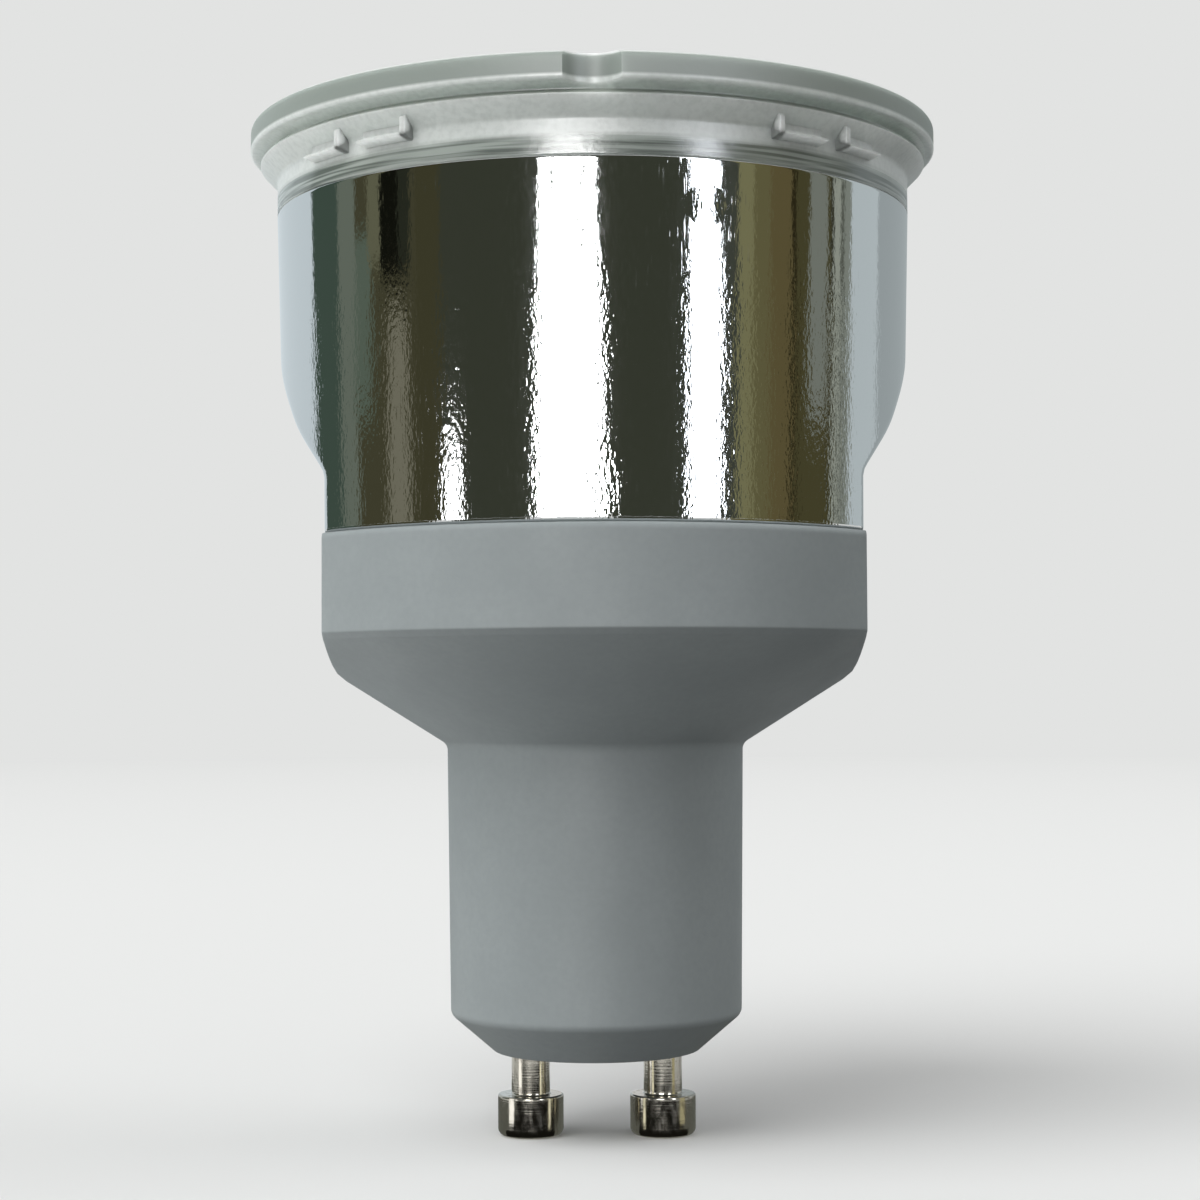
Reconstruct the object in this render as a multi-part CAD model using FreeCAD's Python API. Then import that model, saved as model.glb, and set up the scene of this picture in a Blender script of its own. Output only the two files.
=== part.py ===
import FreeCAD, Part
import math
import os

# Reflector lamp on a two-pin twist base, standing on its pins. Millimetres.
# The axis is upright, z = 0 is the end face between the pins, the pins lie on the
# x axis and the front cover is on top.

# Pins
PIN_SPACING = 10.0
PIN_SHANK_RADIUS = 1.45
PIN_SHANK_LENGTH = 3.35
PIN_HEAD_RADIUS = 2.48
PIN_HEAD_LENGTH = 3.1
PIN_HEAD_ROUND = 0.55
PIN_RIVET_RADIUS = 2.0
PIN_RIVET_HEIGHT = 0.9
PIN_BORE_RADIUS = 0.85
PIN_BORE_DEPTH = 4.2
PIN_EDGE = 0.15
RIVET_ROUND = 0.3

# Base housing
FACE_RADIUS = 7.75
FACE_ROUND = 0.4
BEVEL_HEIGHT = 2.8
NECK_BOTTOM_RADIUS = 11.0
NECK_DRAFT = 0.22
NECK_HEIGHT = 20.25
NECK_ROUND = 0.8
CONE_HEIGHT = 7.7
COLLAR_RADIUS = 23.9
COLLAR_HEIGHT = 7.55
COLLAR_STEP = 0.5
COLLAR_EDGE = 0.45
COLLAR_FLAT = 19.3
COLLAR_CORNER = 0.9
BASE_WALL = 1.3
END_WALL = 2.2
BOARD_LEDGE_WIDTH = 1.0
BOARD_LEDGE_RISE = 2.55
PIN_BOSS_RADIUS = 3.4
PIN_BOSS_HEIGHT = 0.6
CAN_RIB_THICKNESS = 1.2
CAN_RIB_HEIGHT = 5.3

# Mirrored housing, which stands on the collar
MIRROR_INSET = 0.5
MIRROR_FLAT_INSET = 0.15
MIRROR_HEIGHT = 24.6
MIRROR_DRAFT = 0.6
MIRROR_EDGE = 0.3
MIRROR_WALL = 1.4
SCOOP_FLAT_HEIGHT = 4.3
SCOOP_SLOPE_HEIGHT = 9.1
SCOOP_SLOPE_REACH = 4.85
SCOOP_KNEE_HEIGHT = 3.6
SCOOP_KNEE_REACH = 2.45
SCOOP_KNEE_ROUND = 12.0
SCOOP_ROUND = 1.5
SPIGOT_DEPTH = 2.6
SPIGOT_WALL = 1.2
SPIGOT_CLEARANCE = 0.15
LIP_HEIGHT = 1.1
LIP_THICKNESS = 0.8
LIP_ROOT = 1.6
PLATE_LEDGE_RISE = 1.0

# Front cover, whose skirt is flush with the mirrored housing
SKIRT_HEIGHT = 2.55
SKIRT_WALL = 1.15
FLARE_HEIGHT = 1.35
FLARE_OUT = 1.35
FLARE_COVE = 0.5
FLARE_EDGE = 0.12
GROOVE_HEIGHT = 0.8
GROOVE_DEPTH = 0.9
GROOVE_LOW_SIDE = 0.4
RIM_OUT = 0.65
RIM_HEIGHT = 1.9
RIM_ROUND = 0.45
RIM_UNDER_ROUND = 0.2
RIM_LAND = 2.4
COVER_ROOF = 1.4
LENS_SINK = 0.6
LENS_CROWN = 0.5
LENS_EDGE = 0.3
GATE_RADIUS = 2.3
GATE_DEPTH = 1.2
LUG_WIDTH_ANGLE = 10.2
LUG_PAIR_CENTRE = 43.0
LUG_PAIR_SPREAD = 14.4
LUG_RISE = 1.75
LUG_LIP_RISE = 0.35
LUG_HEIGHT = 1.75
LUG_REACH = 1.0
LUG_VALLEY = 0.3
LUG_LIP_FALL = 0.3
LUG_ROOT = 0.4
LUG_EDGE = 0.12
LUG_END_ANGLE = 1.1
LUG_END_CHAMFER = 0.3

# Lamp tube in its holder
TUBE_RADIUS = 3.5
TUBE_CIRCLE = 10.5
TUBE_HEADROOM = 1.0
LIMB_COUNT = 6
BRIDGE_RADIUS = 1.6
BRIDGE_HEIGHT = 6.0
PLATE_THICKNESS = 1.6
PLATE_CLEARANCE = 0.2
CUP_DEPTH = 1.8
CUP_WALL = 1.0
CUP_FLOOR = 0.9
TUBE_CLEARANCE = 0.2
CUP_COLLAR = 0.8

# Circuit board
BOARD_THICKNESS = 1.4
BOARD_CLEARANCE = 0.3
LEAD_RADIUS = 0.3
HOLE_CLEARANCE = 0.12
LEAD_PROUD = 0.8
LEAD_ROOT = 0.5
WIRE_RADIUS = 0.55

# Choke under the board
CHOKE_Y = 4.1
CHOKE_LENGTH = 12.0
CHOKE_DEPTH = 9.0
CHOKE_FOOT = 0.8
CORE_HEIGHT = 7.8
CORE_THICKNESS = 5.0
CORE_YOKE = 1.6
CORE_SIDE = 1.7
CORE_CENTRE = 3.0
BOBBIN_WALL = 0.5
BOBBIN_GAP = 0.1
BOBBIN_FLANGE = 0.5
WINDING_CLEARANCE = 0.8
WINDING_ROUND = 0.8
CHOKE_LEAD_INSET_X = 1.4
CHOKE_LEAD_INSET_Y = 0.9

# Smoothing capacitor in the neck
CAN_SIDE_GAP = 4.7
CAN_LENGTH = 16.0
CAN_Y = -1.5
CAN_GROOVE_DEPTH = 0.35
CAN_GROOVE_HEIGHT = 2.2
CAN_LEAD_PITCH = 5.0
CAN_ROUND = 0.5
CAN_CURL = 1.0
CAN_SINK = 0.4

# Drive ring
RING_Y = -9.6
RING_RADIUS = 3.6
RING_BORE = 1.9
RING_HEIGHT = 3.0
RING_STANDOFF = 0.5
COIL_WALL = 0.5
COIL_ARC = 62.0
COIL_GAP = 0.15
COIL_ROUND = 0.3
COIL_LEAD_SHARE = 0.3

# Small parts on the underside of the board
TRANSISTOR_X = 8.6
TRANSISTOR_Y = -6.6
TRANSISTOR_RADIUS = 2.3
TRANSISTOR_FLAT = 1.2
TRANSISTOR_HEIGHT = 4.6
TRANSISTOR_PITCH = 1.27
FILM_X = 10.2
FILM_Y = 5.2
FILM_WIDTH = 4.2
FILM_LENGTH = 8.0
FILM_HEIGHT = 4.8
FILM_ROUND = 0.6
FILM_PITCH = 5.0
START_LENGTH = 6.4
START_HEIGHT = 4.2
DRUM_Y = 12.6
DRUM_RADIUS = 2.8
DRUM_HEIGHT = 4.8
DRUM_FLANGE = 0.8
DRUM_WAIST = 2.1
DRUM_EDGE = 0.2
DRUM_PITCH = 3.0
DIODE_RADIUS = 1.2
DIODE_LENGTH = 3.4
DIODE_INNER_X = 10.0
DIODE_OUTER_X = 13.0
DIODE_Y = -0.9
RESISTOR_RADIUS = 1.1
RESISTOR_LENGTH = 3.6
RESISTOR_BACK_X = 4.7
RESISTOR_BACK_Y = 11.6
RESISTOR_FRONT_X = 5.8
RESISTOR_FRONT_Y = -12.6
RESISTOR_TURN = 15.0
FUSE_RADIUS = 1.5
FUSE_LENGTH = 3.6
FUSE_X = 13.2
FUSE_Y = -6.4
HAIRPIN_PITCH = 2.6

# Connecting wires
PIN_WIRE_GAP = 1.35
PIN_WIRE_HOLE_X = 7.6
PIN_WIRE_RISE = 5.0
PIN_WIRE_CLIMB = 3.4
PIN_WIRE_Y = -2.4
PIN_WIRE_TURN = 1.6

# Heights and radii that follow from the sizes above
NECK_TOP_RADIUS = NECK_BOTTOM_RADIUS + NECK_DRAFT
NECK_TOP = BEVEL_HEIGHT + NECK_HEIGHT
CONE_TOP = NECK_TOP + CONE_HEIGHT
CONE_TOP_RADIUS = COLLAR_RADIUS - COLLAR_STEP
COLLAR_TOP = CONE_TOP + COLLAR_HEIGHT
BOARD_UNDER = CONE_TOP + BOARD_LEDGE_RISE
BOARD_OVER = BOARD_UNDER + BOARD_THICKNESS
BASE_BORE = COLLAR_RADIUS - BASE_WALL
BASE_BORE_FLAT = COLLAR_FLAT - BASE_WALL
CAN_RIB_TOP = END_WALL + CAN_RIB_HEIGHT
NECK_BORE = NECK_BOTTOM_RADIUS - BASE_WALL
CAN_RADIUS = NECK_BORE - CAN_SIDE_GAP
MIRROR_BOTTOM_RADIUS = COLLAR_RADIUS - MIRROR_INSET
MIRROR_TOP_RADIUS = MIRROR_BOTTOM_RADIUS + MIRROR_DRAFT
MIRROR_TOP = COLLAR_TOP + MIRROR_HEIGHT
MIRROR_FLAT = COLLAR_FLAT - MIRROR_FLAT_INSET
SCOOP_START = COLLAR_TOP + SCOOP_FLAT_HEIGHT
SCOOP_END = SCOOP_START + SCOOP_SLOPE_HEIGHT
SCOOP_REACH = MIRROR_FLAT + SCOOP_SLOPE_REACH
SCOOP_KNEE = SCOOP_START + SCOOP_KNEE_HEIGHT
SCOOP_KNEE_WIDTH = MIRROR_FLAT + SCOOP_KNEE_REACH
SPIGOT_RADIUS = BASE_BORE - SPIGOT_CLEARANCE
SPIGOT_FLAT = BASE_BORE_FLAT - SPIGOT_CLEARANCE
PLATE_LEDGE_TOP = COLLAR_TOP + PLATE_LEDGE_RISE
SKIRT_RADIUS = MIRROR_TOP_RADIUS
SKIRT_BORE = SKIRT_RADIUS - SKIRT_WALL
LIP_RADIUS = SKIRT_BORE - SPIGOT_CLEARANCE
FLARE_BOTTOM = MIRROR_TOP + SKIRT_HEIGHT
FLARE_TOP = FLARE_BOTTOM + FLARE_HEIGHT
FLARE_RADIUS = SKIRT_RADIUS + FLARE_OUT
GROOVE_RADIUS = FLARE_RADIUS - GROOVE_DEPTH
RIM_BOTTOM = FLARE_TOP + GROOVE_HEIGHT
RIM_TOP = RIM_BOTTOM + RIM_HEIGHT
RIM_RADIUS = FLARE_RADIUS + RIM_OUT
LUG_BOTTOM = MIRROR_TOP + LUG_RISE
LUG_LIP = LUG_BOTTOM + LUG_LIP_RISE
LUG_TOP = LUG_BOTTOM + LUG_HEIGHT
CUP_FLOOR_TOP = PLATE_LEDGE_TOP - CUP_DEPTH + CUP_FLOOR
TUBE_TOP = RIM_TOP - LENS_SINK - COVER_ROOF - TUBE_HEADROOM
HOLE_RADIUS = LEAD_RADIUS + HOLE_CLEARANCE
ALL = 100.0


def vec(x, y, z):
    return FreeCAD.Vector(x, y, z)


def cylinder(radius, x, y, z0, z1):
    return Part.makeCylinder(radius, z1 - z0, vec(x, y, z0))


def block(x0, x1, y0, y1, z0, z1):
    return Part.makeBox(x1 - x0, y1 - y0, z1 - z0, vec(x0, y0, z0))


def outline(points):
    """Closed wire in the xz plane; each point is (x, z) or (x, z, corner radius)."""
    corners = []
    count = len(points)
    for i, point in enumerate(points):
        here = vec(point[0], 0, point[1])
        radius = point[2] if len(point) > 2 else 0.0
        if radius <= 0.0:
            corners.append((here, here, None))
            continue
        before = points[i - 1]
        after = points[(i + 1) % count]
        back = (vec(before[0], 0, before[1]) - here).normalize()
        ahead = (vec(after[0], 0, after[1]) - here).normalize()
        half = back.getAngle(ahead) / 2.0
        reach = radius / math.tan(half)
        middle = (back + ahead).normalize() * (radius / math.sin(half) - radius)
        corners.append((here + back * reach, here + ahead * reach, here + middle))
    edges = []
    for i, (start, end, middle) in enumerate(corners):
        if middle is not None:
            edges.append(Part.Arc(start, middle, end).toShape())
        following = corners[(i + 1) % count][0]
        if end.distanceToPoint(following) > 1e-6:
            edges.append(Part.makeLine(end, following))
    return Part.Wire(edges)


def turned(points):
    """Solid turned about the lamp axis from a half section."""
    return Part.Face(outline(points)).revolve(vec(0, 0, 0), vec(0, 0, 1), 360)


def between_flats(radius, flat, corner, z0, z1):
    """Round bar with two flat sides across x and rounded upright corners."""
    half = math.sqrt(radius * radius - flat * flat)
    bar = cylinder(radius, 0, 0, z0, z1)
    bar = bar.common(block(-flat, flat, -radius, radius, z0, z1))
    if corner <= 0.0:
        return bar
    upright = [e for e in bar.Edges
               if abs(abs(e.CenterOfMass.x) - flat) < 1e-3
               and abs(abs(e.CenterOfMass.y) - half) < 1e-3]
    return bar.makeFillet(corner, upright)


def tube_path(points, radius, bend):
    """Round wire through points, with tangent arcs of the given bend radius."""
    corners = []
    for i, here in enumerate(points):
        if i in (0, len(points) - 1):
            corners.append((here, here, None))
            continue
        back = (points[i - 1] - here).normalize()
        ahead = (points[i + 1] - here).normalize()
        half = back.getAngle(ahead) / 2.0
        reach = bend / math.tan(half)
        middle = (back + ahead).normalize() * (bend / math.sin(half) - bend)
        corners.append((here + back * reach, here + ahead * reach, here + middle))
    edges = []
    for i, (start, end, middle) in enumerate(corners):
        if middle is not None:
            edges.append(Part.Arc(start, middle, end).toShape())
        if i + 1 < len(corners) and end.distanceToPoint(corners[i + 1][0]) > 1e-6:
            edges.append(Part.makeLine(end, corners[i + 1][0]))
    path = Part.Wire(edges)
    ring = Part.Wire(Part.makeCircle(radius, points[0], points[1] - points[0]))
    return path.makePipeShell([ring], True, True)


def fused(shapes):
    solid = shapes[0].multiFuse(shapes[1:]) if len(shapes) > 1 else shapes[0]
    return solid.removeSplitter()


def sides():
    return (-1.0, 1.0)


def pin(side):
    """Headed contact pin, riveted over inside and bored for its wire."""
    x = side * PIN_SPACING / 2.0
    head_end = -PIN_SHANK_LENGTH - PIN_HEAD_LENGTH
    rivet_under = END_WALL + PIN_BOSS_HEIGHT
    rivet_top = rivet_under + PIN_RIVET_HEIGHT
    section = [
        (0, head_end),
        (PIN_HEAD_RADIUS, head_end, PIN_HEAD_ROUND),
        (PIN_HEAD_RADIUS, -PIN_SHANK_LENGTH, PIN_EDGE),
        (PIN_SHANK_RADIUS, -PIN_SHANK_LENGTH),
        (PIN_SHANK_RADIUS, rivet_under),
        (PIN_RIVET_RADIUS, rivet_under),
        (PIN_RIVET_RADIUS, rivet_top, RIVET_ROUND),
        (PIN_BORE_RADIUS, rivet_top),
        (PIN_BORE_RADIUS, rivet_top - PIN_BORE_DEPTH),
        (0, rivet_top - PIN_BORE_DEPTH),
    ]
    body = turned(section)
    body.translate(vec(x, 0, 0))
    return body


def cone_slope():
    return (CONE_TOP_RADIUS - NECK_TOP_RADIUS) / (CONE_TOP - NECK_TOP)


def cone_inside(radius):
    """Height of the cone's inner face at a radius."""
    slope = cone_slope()
    lift = BASE_WALL * math.sqrt(1.0 + slope * slope) / slope
    return NECK_TOP + (radius - NECK_TOP_RADIUS) / slope + lift


def base_housing():
    """Moulded base: end wall, neck, cone and collar in one shell."""
    skin = turned([
        (0, 0),
        (FACE_RADIUS, 0, FACE_ROUND),
        (NECK_BOTTOM_RADIUS, BEVEL_HEIGHT, NECK_ROUND),
        (NECK_TOP_RADIUS, NECK_TOP, NECK_ROUND),
        (CONE_TOP_RADIUS, CONE_TOP),
        (COLLAR_RADIUS, CONE_TOP + COLLAR_EDGE, COLLAR_EDGE / 2.0),
        (COLLAR_RADIUS, COLLAR_TOP, COLLAR_EDGE),
        (0, COLLAR_TOP),
    ])
    skin = skin.common(between_flats(COLLAR_RADIUS, COLLAR_FLAT, COLLAR_CORNER, 0, COLLAR_TOP))
    bevel = (NECK_BOTTOM_RADIUS - FACE_RADIUS) * (BEVEL_HEIGHT - BASE_WALL) / BEVEL_HEIGHT
    ledge = BASE_BORE - BOARD_LEDGE_WIDTH
    ledge_flat = BASE_BORE_FLAT - BOARD_LEDGE_WIDTH
    hollow = turned([
        (0, END_WALL),
        (NECK_BORE - bevel, END_WALL),
        (NECK_BORE, END_WALL + BEVEL_HEIGHT - BASE_WALL),
        (NECK_BORE, cone_inside(NECK_BORE)),
        (ledge, cone_inside(ledge)),
        (ledge, BOARD_UNDER),
        (0, BOARD_UNDER),
    ])
    hollow = hollow.common(between_flats(ledge, ledge_flat, 0, 0, BOARD_UNDER))
    seat = between_flats(BASE_BORE, BASE_BORE_FLAT, 0, BOARD_UNDER, COLLAR_TOP)
    shell = skin.cut(hollow).cut(seat)
    bosses = [cylinder(PIN_BOSS_RADIUS, side * PIN_SPACING / 2.0, 0,
                       END_WALL / 2.0, END_WALL + PIN_BOSS_HEIGHT) for side in sides()]
    rib_half = CAN_RIB_THICKNESS / 2.0
    rib_reach = CAN_RADIUS - CAN_CURL
    rib = block(-rib_half, rib_half, CAN_Y - rib_reach, CAN_Y + rib_reach, END_WALL / 2.0, CAN_RIB_TOP)
    shell = fused([shell, rib] + bosses)
    for side in sides():
        shell = shell.cut(cylinder(PIN_SHANK_RADIUS, side * PIN_SPACING / 2.0, 0, -1, CAN_RIB_TOP))
    return shell


def scoop_region(inset):
    """Everything between the two side scoops, drawn in the xz plane, running along y."""
    flat = MIRROR_FLAT - inset
    steep = math.atan2(SCOOP_KNEE_WIDTH - MIRROR_FLAT, SCOOP_KNEE - SCOOP_START)
    lift = inset * math.tan(steep / 2.0)
    right = [
        (flat, 0),
        (flat, SCOOP_START + lift, SCOOP_ROUND),
        (SCOOP_KNEE_WIDTH - inset, SCOOP_KNEE + lift, SCOOP_KNEE_ROUND),
        (SCOOP_REACH - inset, SCOOP_END + lift),
        (SCOOP_REACH - inset, ALL),
    ]
    left = [(-p[0],) + p[1:] for p in reversed(right)]
    face = Part.Face(outline(right + left))
    face.translate(vec(0, -ALL / 2.0, 0))
    return face.extrude(vec(0, ALL, 0))


def mirror_housing():
    """Metallised shell: round at front and back, scooped flat at both sides."""
    skin = turned([
        (0, COLLAR_TOP),
        (MIRROR_BOTTOM_RADIUS, COLLAR_TOP, MIRROR_EDGE),
        (MIRROR_TOP_RADIUS, MIRROR_TOP),
        (0, MIRROR_TOP),
    ]).common(scoop_region(0.0))
    hollow = turned([
        (0, COLLAR_TOP),
        (MIRROR_BOTTOM_RADIUS - MIRROR_WALL, COLLAR_TOP),
        (MIRROR_TOP_RADIUS - MIRROR_WALL, MIRROR_TOP),
        (0, MIRROR_TOP),
    ]).common(scoop_region(MIRROR_WALL))
    spigot_end = COLLAR_TOP - SPIGOT_DEPTH
    spigot = between_flats(SPIGOT_RADIUS, SPIGOT_FLAT, 0, spigot_end, PLATE_LEDGE_TOP)
    inner = between_flats(SPIGOT_RADIUS - SPIGOT_WALL, SPIGOT_FLAT - SPIGOT_WALL, 0,
                          spigot_end, PLATE_LEDGE_TOP)
    lip_bore = LIP_RADIUS - LIP_THICKNESS
    root_radius = MIRROR_TOP_RADIUS - MIRROR_WALL / 2.0
    lip = turned([
        (lip_bore, MIRROR_TOP - LIP_ROOT + LIP_THICKNESS),
        (root_radius, MIRROR_TOP - LIP_ROOT),
        (root_radius, MIRROR_TOP),
        (LIP_RADIUS, MIRROR_TOP),
        (LIP_RADIUS, MIRROR_TOP + LIP_HEIGHT),
        (lip_bore, MIRROR_TOP + LIP_HEIGHT),
    ])
    shell = skin.cut(hollow)
    return fused([shell, spigot.cut(inner), lip])


def tube_holder():
    """White plate with a cup under each limb of the tube and two pin holes in each end cup."""
    radius = MIRROR_BOTTOM_RADIUS - MIRROR_WALL - PLATE_CLEARANCE
    flat = MIRROR_FLAT - MIRROR_WALL - PLATE_CLEARANCE
    top = PLATE_LEDGE_TOP + PLATE_THICKNESS
    plate = between_flats(radius, flat, 0, PLATE_LEDGE_TOP, top)
    cup = TUBE_RADIUS + TUBE_CLEARANCE + CUP_WALL
    raised = []
    bores = []
    for x, y in limb_places():
        raised.append(cylinder(cup, x, y, PLATE_LEDGE_TOP - CUP_DEPTH, top + CUP_COLLAR))
        bores.append(cylinder(TUBE_RADIUS + TUBE_CLEARANCE, x, y, CUP_FLOOR_TOP, ALL))
    holes = [cylinder(HOLE_RADIUS, x, y, 0, ALL) for x, y in tube_lead_places(0) + tube_lead_places(1)]
    holder = fused([plate] + raised)
    return holder.cut(Part.makeCompound(bores)).cut(Part.makeCompound(holes)).removeSplitter()


def limb_places():
    """Six limbs on a circle; the first and the last are the two tube ends."""
    step = 360.0 / LIMB_COUNT
    start = -90.0 + step / 2.0
    angles = [math.radians(start + step * i) for i in range(LIMB_COUNT)]
    return [(TUBE_CIRCLE * math.cos(a), TUBE_CIRCLE * math.sin(a)) for a in angles]


def discharge_tube():
    """Three bent pairs of limbs joined low down by two bridges into one sealed tube."""
    places = limb_places()
    pieces = []
    bend = 0.0
    for i in range(0, LIMB_COUNT, 2):
        x0, y0 = places[i]
        x1, y1 = places[i + 1]
        bend = math.hypot(x1 - x0, y1 - y0) / 2.0
        shoulder = TUBE_TOP - TUBE_RADIUS - bend
        start = vec(x0, y0, shoulder)
        end = vec(x1, y1, shoulder)
        crown = (start + end) * 0.5 + vec(0, 0, bend)
        arc = Part.Wire(Part.Arc(start, crown, end).toShape())
        ring = Part.Wire(Part.makeCircle(TUBE_RADIUS, start, vec(0, 0, 1)))
        pieces.append(arc.makePipeShell([ring], True, True))
        pieces.append(cylinder(TUBE_RADIUS, x0, y0, CUP_FLOOR_TOP, shoulder))
        pieces.append(cylinder(TUBE_RADIUS, x1, y1, CUP_FLOOR_TOP, shoulder))
    for i in range(1, LIMB_COUNT - 1, 2):
        x0, y0 = places[i]
        x1, y1 = places[i + 1]
        start = vec(x0, y0, CUP_FLOOR_TOP + BRIDGE_HEIGHT)
        along = vec(x1 - x0, y1 - y0, 0)
        pieces.append(Part.makeCylinder(BRIDGE_RADIUS, along.Length, start, along))
    return fused(pieces)


def tube_lead_places(end):
    """Two filament leads under one tube end."""
    x, y = limb_places()[0 if end == 0 else -1]
    gap = TUBE_RADIUS * 0.45
    return [(x - gap, y), (x + gap, y)]


def tube_leads(end):
    """Pair of stiff leads from a tube end down through the board."""
    low = BOARD_UNDER - LEAD_PROUD
    wires = [cylinder(LEAD_RADIUS, x, y, low, CUP_FLOOR_TOP) for x, y in tube_lead_places(end)]
    return Part.makeCompound(wires)


def front_cover():
    """Frosted cap: lens, thick rim, grooved flare and skirt, with catch lugs and a gate scallop."""
    lens_edge = RIM_RADIUS - RIM_LAND
    section = [
        (0, RIM_TOP - LENS_SINK + LENS_CROWN - COVER_ROOF),
        (SKIRT_BORE, RIM_TOP - LENS_SINK - COVER_ROOF),
        (SKIRT_BORE, MIRROR_TOP),
        (SKIRT_RADIUS, MIRROR_TOP),
        (SKIRT_RADIUS, FLARE_BOTTOM, FLARE_COVE),
        (FLARE_RADIUS, FLARE_TOP, FLARE_EDGE),
        (GROOVE_RADIUS, FLARE_TOP + GROOVE_LOW_SIDE),
        (FLARE_RADIUS, RIM_BOTTOM),
        (RIM_RADIUS, RIM_BOTTOM, RIM_UNDER_ROUND),
        (RIM_RADIUS, RIM_TOP, RIM_ROUND),
        (lens_edge, RIM_TOP, LENS_EDGE),
        (lens_edge - LENS_SINK, RIM_TOP - LENS_SINK),
        (0, RIM_TOP - LENS_SINK + LENS_CROWN),
    ]
    cover = turned(section)
    foot = [
        (SKIRT_RADIUS - LUG_ROOT, LUG_BOTTOM),
        (SKIRT_RADIUS, LUG_BOTTOM),
        (SKIRT_RADIUS + LUG_REACH, LUG_LIP - LUG_EDGE),
    ]
    lip = Part.Face(outline(foot + [
        (SKIRT_RADIUS + LUG_REACH, LUG_LIP),
        (SKIRT_RADIUS + LUG_VALLEY, LUG_LIP + LUG_LIP_FALL),
        (SKIRT_RADIUS + LUG_VALLEY, LUG_TOP),
        (SKIRT_RADIUS - LUG_ROOT, LUG_TOP),
    ]))
    end = Part.Face(outline(foot + [
        (SKIRT_RADIUS + LUG_REACH, LUG_TOP - LUG_END_CHAMFER),
        (SKIRT_RADIUS + LUG_REACH - LUG_END_CHAMFER, LUG_TOP),
        (SKIRT_RADIUS - LUG_ROOT, LUG_TOP),
    ]))
    lugs = []
    for quarter in (0.0, 180.0):
        for side in sides():
            for spread in sides():
                centre = quarter - 90.0 + side * LUG_PAIR_CENTRE + spread * LUG_PAIR_SPREAD / 2.0
                start = centre - side * LUG_WIDTH_ANGLE / 2.0
                for face, width in ((lip, LUG_WIDTH_ANGLE), (end, LUG_END_ANGLE)):
                    lug = face.revolve(vec(0, 0, 0), vec(0, 0, 1), side * width)
                    lug.rotate(vec(0, 0, 0), vec(0, 0, 1), start)
                    lugs.append(lug)
    cover = fused([cover] + lugs)
    gate = cylinder(GATE_RADIUS, 0, -RIM_RADIUS + GATE_DEPTH - GATE_RADIUS, RIM_BOTTOM - RIM_UNDER_ROUND, ALL)
    return cover.cut(gate)


def choke_lead_places():
    x = CHOKE_LENGTH / 2.0 - CHOKE_LEAD_INSET_X
    y = CHOKE_DEPTH / 2.0 - CHOKE_LEAD_INSET_Y
    return [(sx * x, CHOKE_Y + sy * y) for sx in sides() for sy in sides()]


def leads_through(places, from_z):
    return [cylinder(LEAD_RADIUS, x, y, from_z, BOARD_OVER + LEAD_PROUD) for x, y in places]


def core_top():
    return BOARD_UNDER - CHOKE_FOOT


def window_height():
    return CORE_HEIGHT - 2.0 * CORE_YOKE


def choke_core():
    """Ferrite core: two yokes, two side limbs and a centre limb."""
    top = core_top()
    bottom = top - CORE_HEIGHT
    half = CHOKE_LENGTH / 2.0
    y0 = CHOKE_Y - CORE_THICKNESS / 2.0
    y1 = CHOKE_Y + CORE_THICKNESS / 2.0
    core = block(-half, half, y0, y1, bottom, top)
    for side in sides():
        near = side * CORE_CENTRE / 2.0
        far = side * (half - CORE_SIDE)
        core = core.cut(block(min(near, far), max(near, far), y0, y1,
                              bottom + CORE_YOKE, top - CORE_YOKE))
    return core


def bobbin_half():
    return (CORE_CENTRE / 2.0 + BOBBIN_GAP + BOBBIN_WALL, CORE_THICKNESS / 2.0 + BOBBIN_GAP + BOBBIN_WALL)


def choke_bobbin():
    """Foot plate, two flanges and a square tube round the centre limb."""
    top = core_top()
    high = top - CORE_YOKE
    low = high - window_height()
    bx, by = bobbin_half()
    reach_x = CHOKE_LENGTH / 2.0 - CORE_SIDE - BOBBIN_GAP
    reach_y = CHOKE_DEPTH / 2.0
    parts = [block(-CHOKE_LENGTH / 2.0, CHOKE_LENGTH / 2.0, CHOKE_Y - reach_y, CHOKE_Y + reach_y,
                   top, BOARD_UNDER)]
    parts.append(block(-bx, bx, CHOKE_Y - by, CHOKE_Y + by, low, high))
    for z in (low, high - BOBBIN_FLANGE):
        parts.append(block(-reach_x, reach_x, CHOKE_Y - reach_y, CHOKE_Y + reach_y, z, z + BOBBIN_FLANGE))
    for side in sides():
        near = CHOKE_Y + side * (CORE_THICKNESS / 2.0 + BOBBIN_GAP)
        far = CHOKE_Y + side * reach_y
        parts.append(block(-reach_x, reach_x, min(near, far), max(near, far), high - BOBBIN_FLANGE, top))
    bobbin = fused(parts)
    slot_x = CORE_CENTRE / 2.0 + BOBBIN_GAP
    slot_y = CORE_THICKNESS / 2.0 + BOBBIN_GAP
    bobbin = bobbin.cut(block(-slot_x, slot_x, CHOKE_Y - slot_y, CHOKE_Y + slot_y, low - 1, high))
    pins = leads_through(choke_lead_places(), top + CHOKE_FOOT / 2.0)
    return fused([bobbin] + pins)


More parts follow.
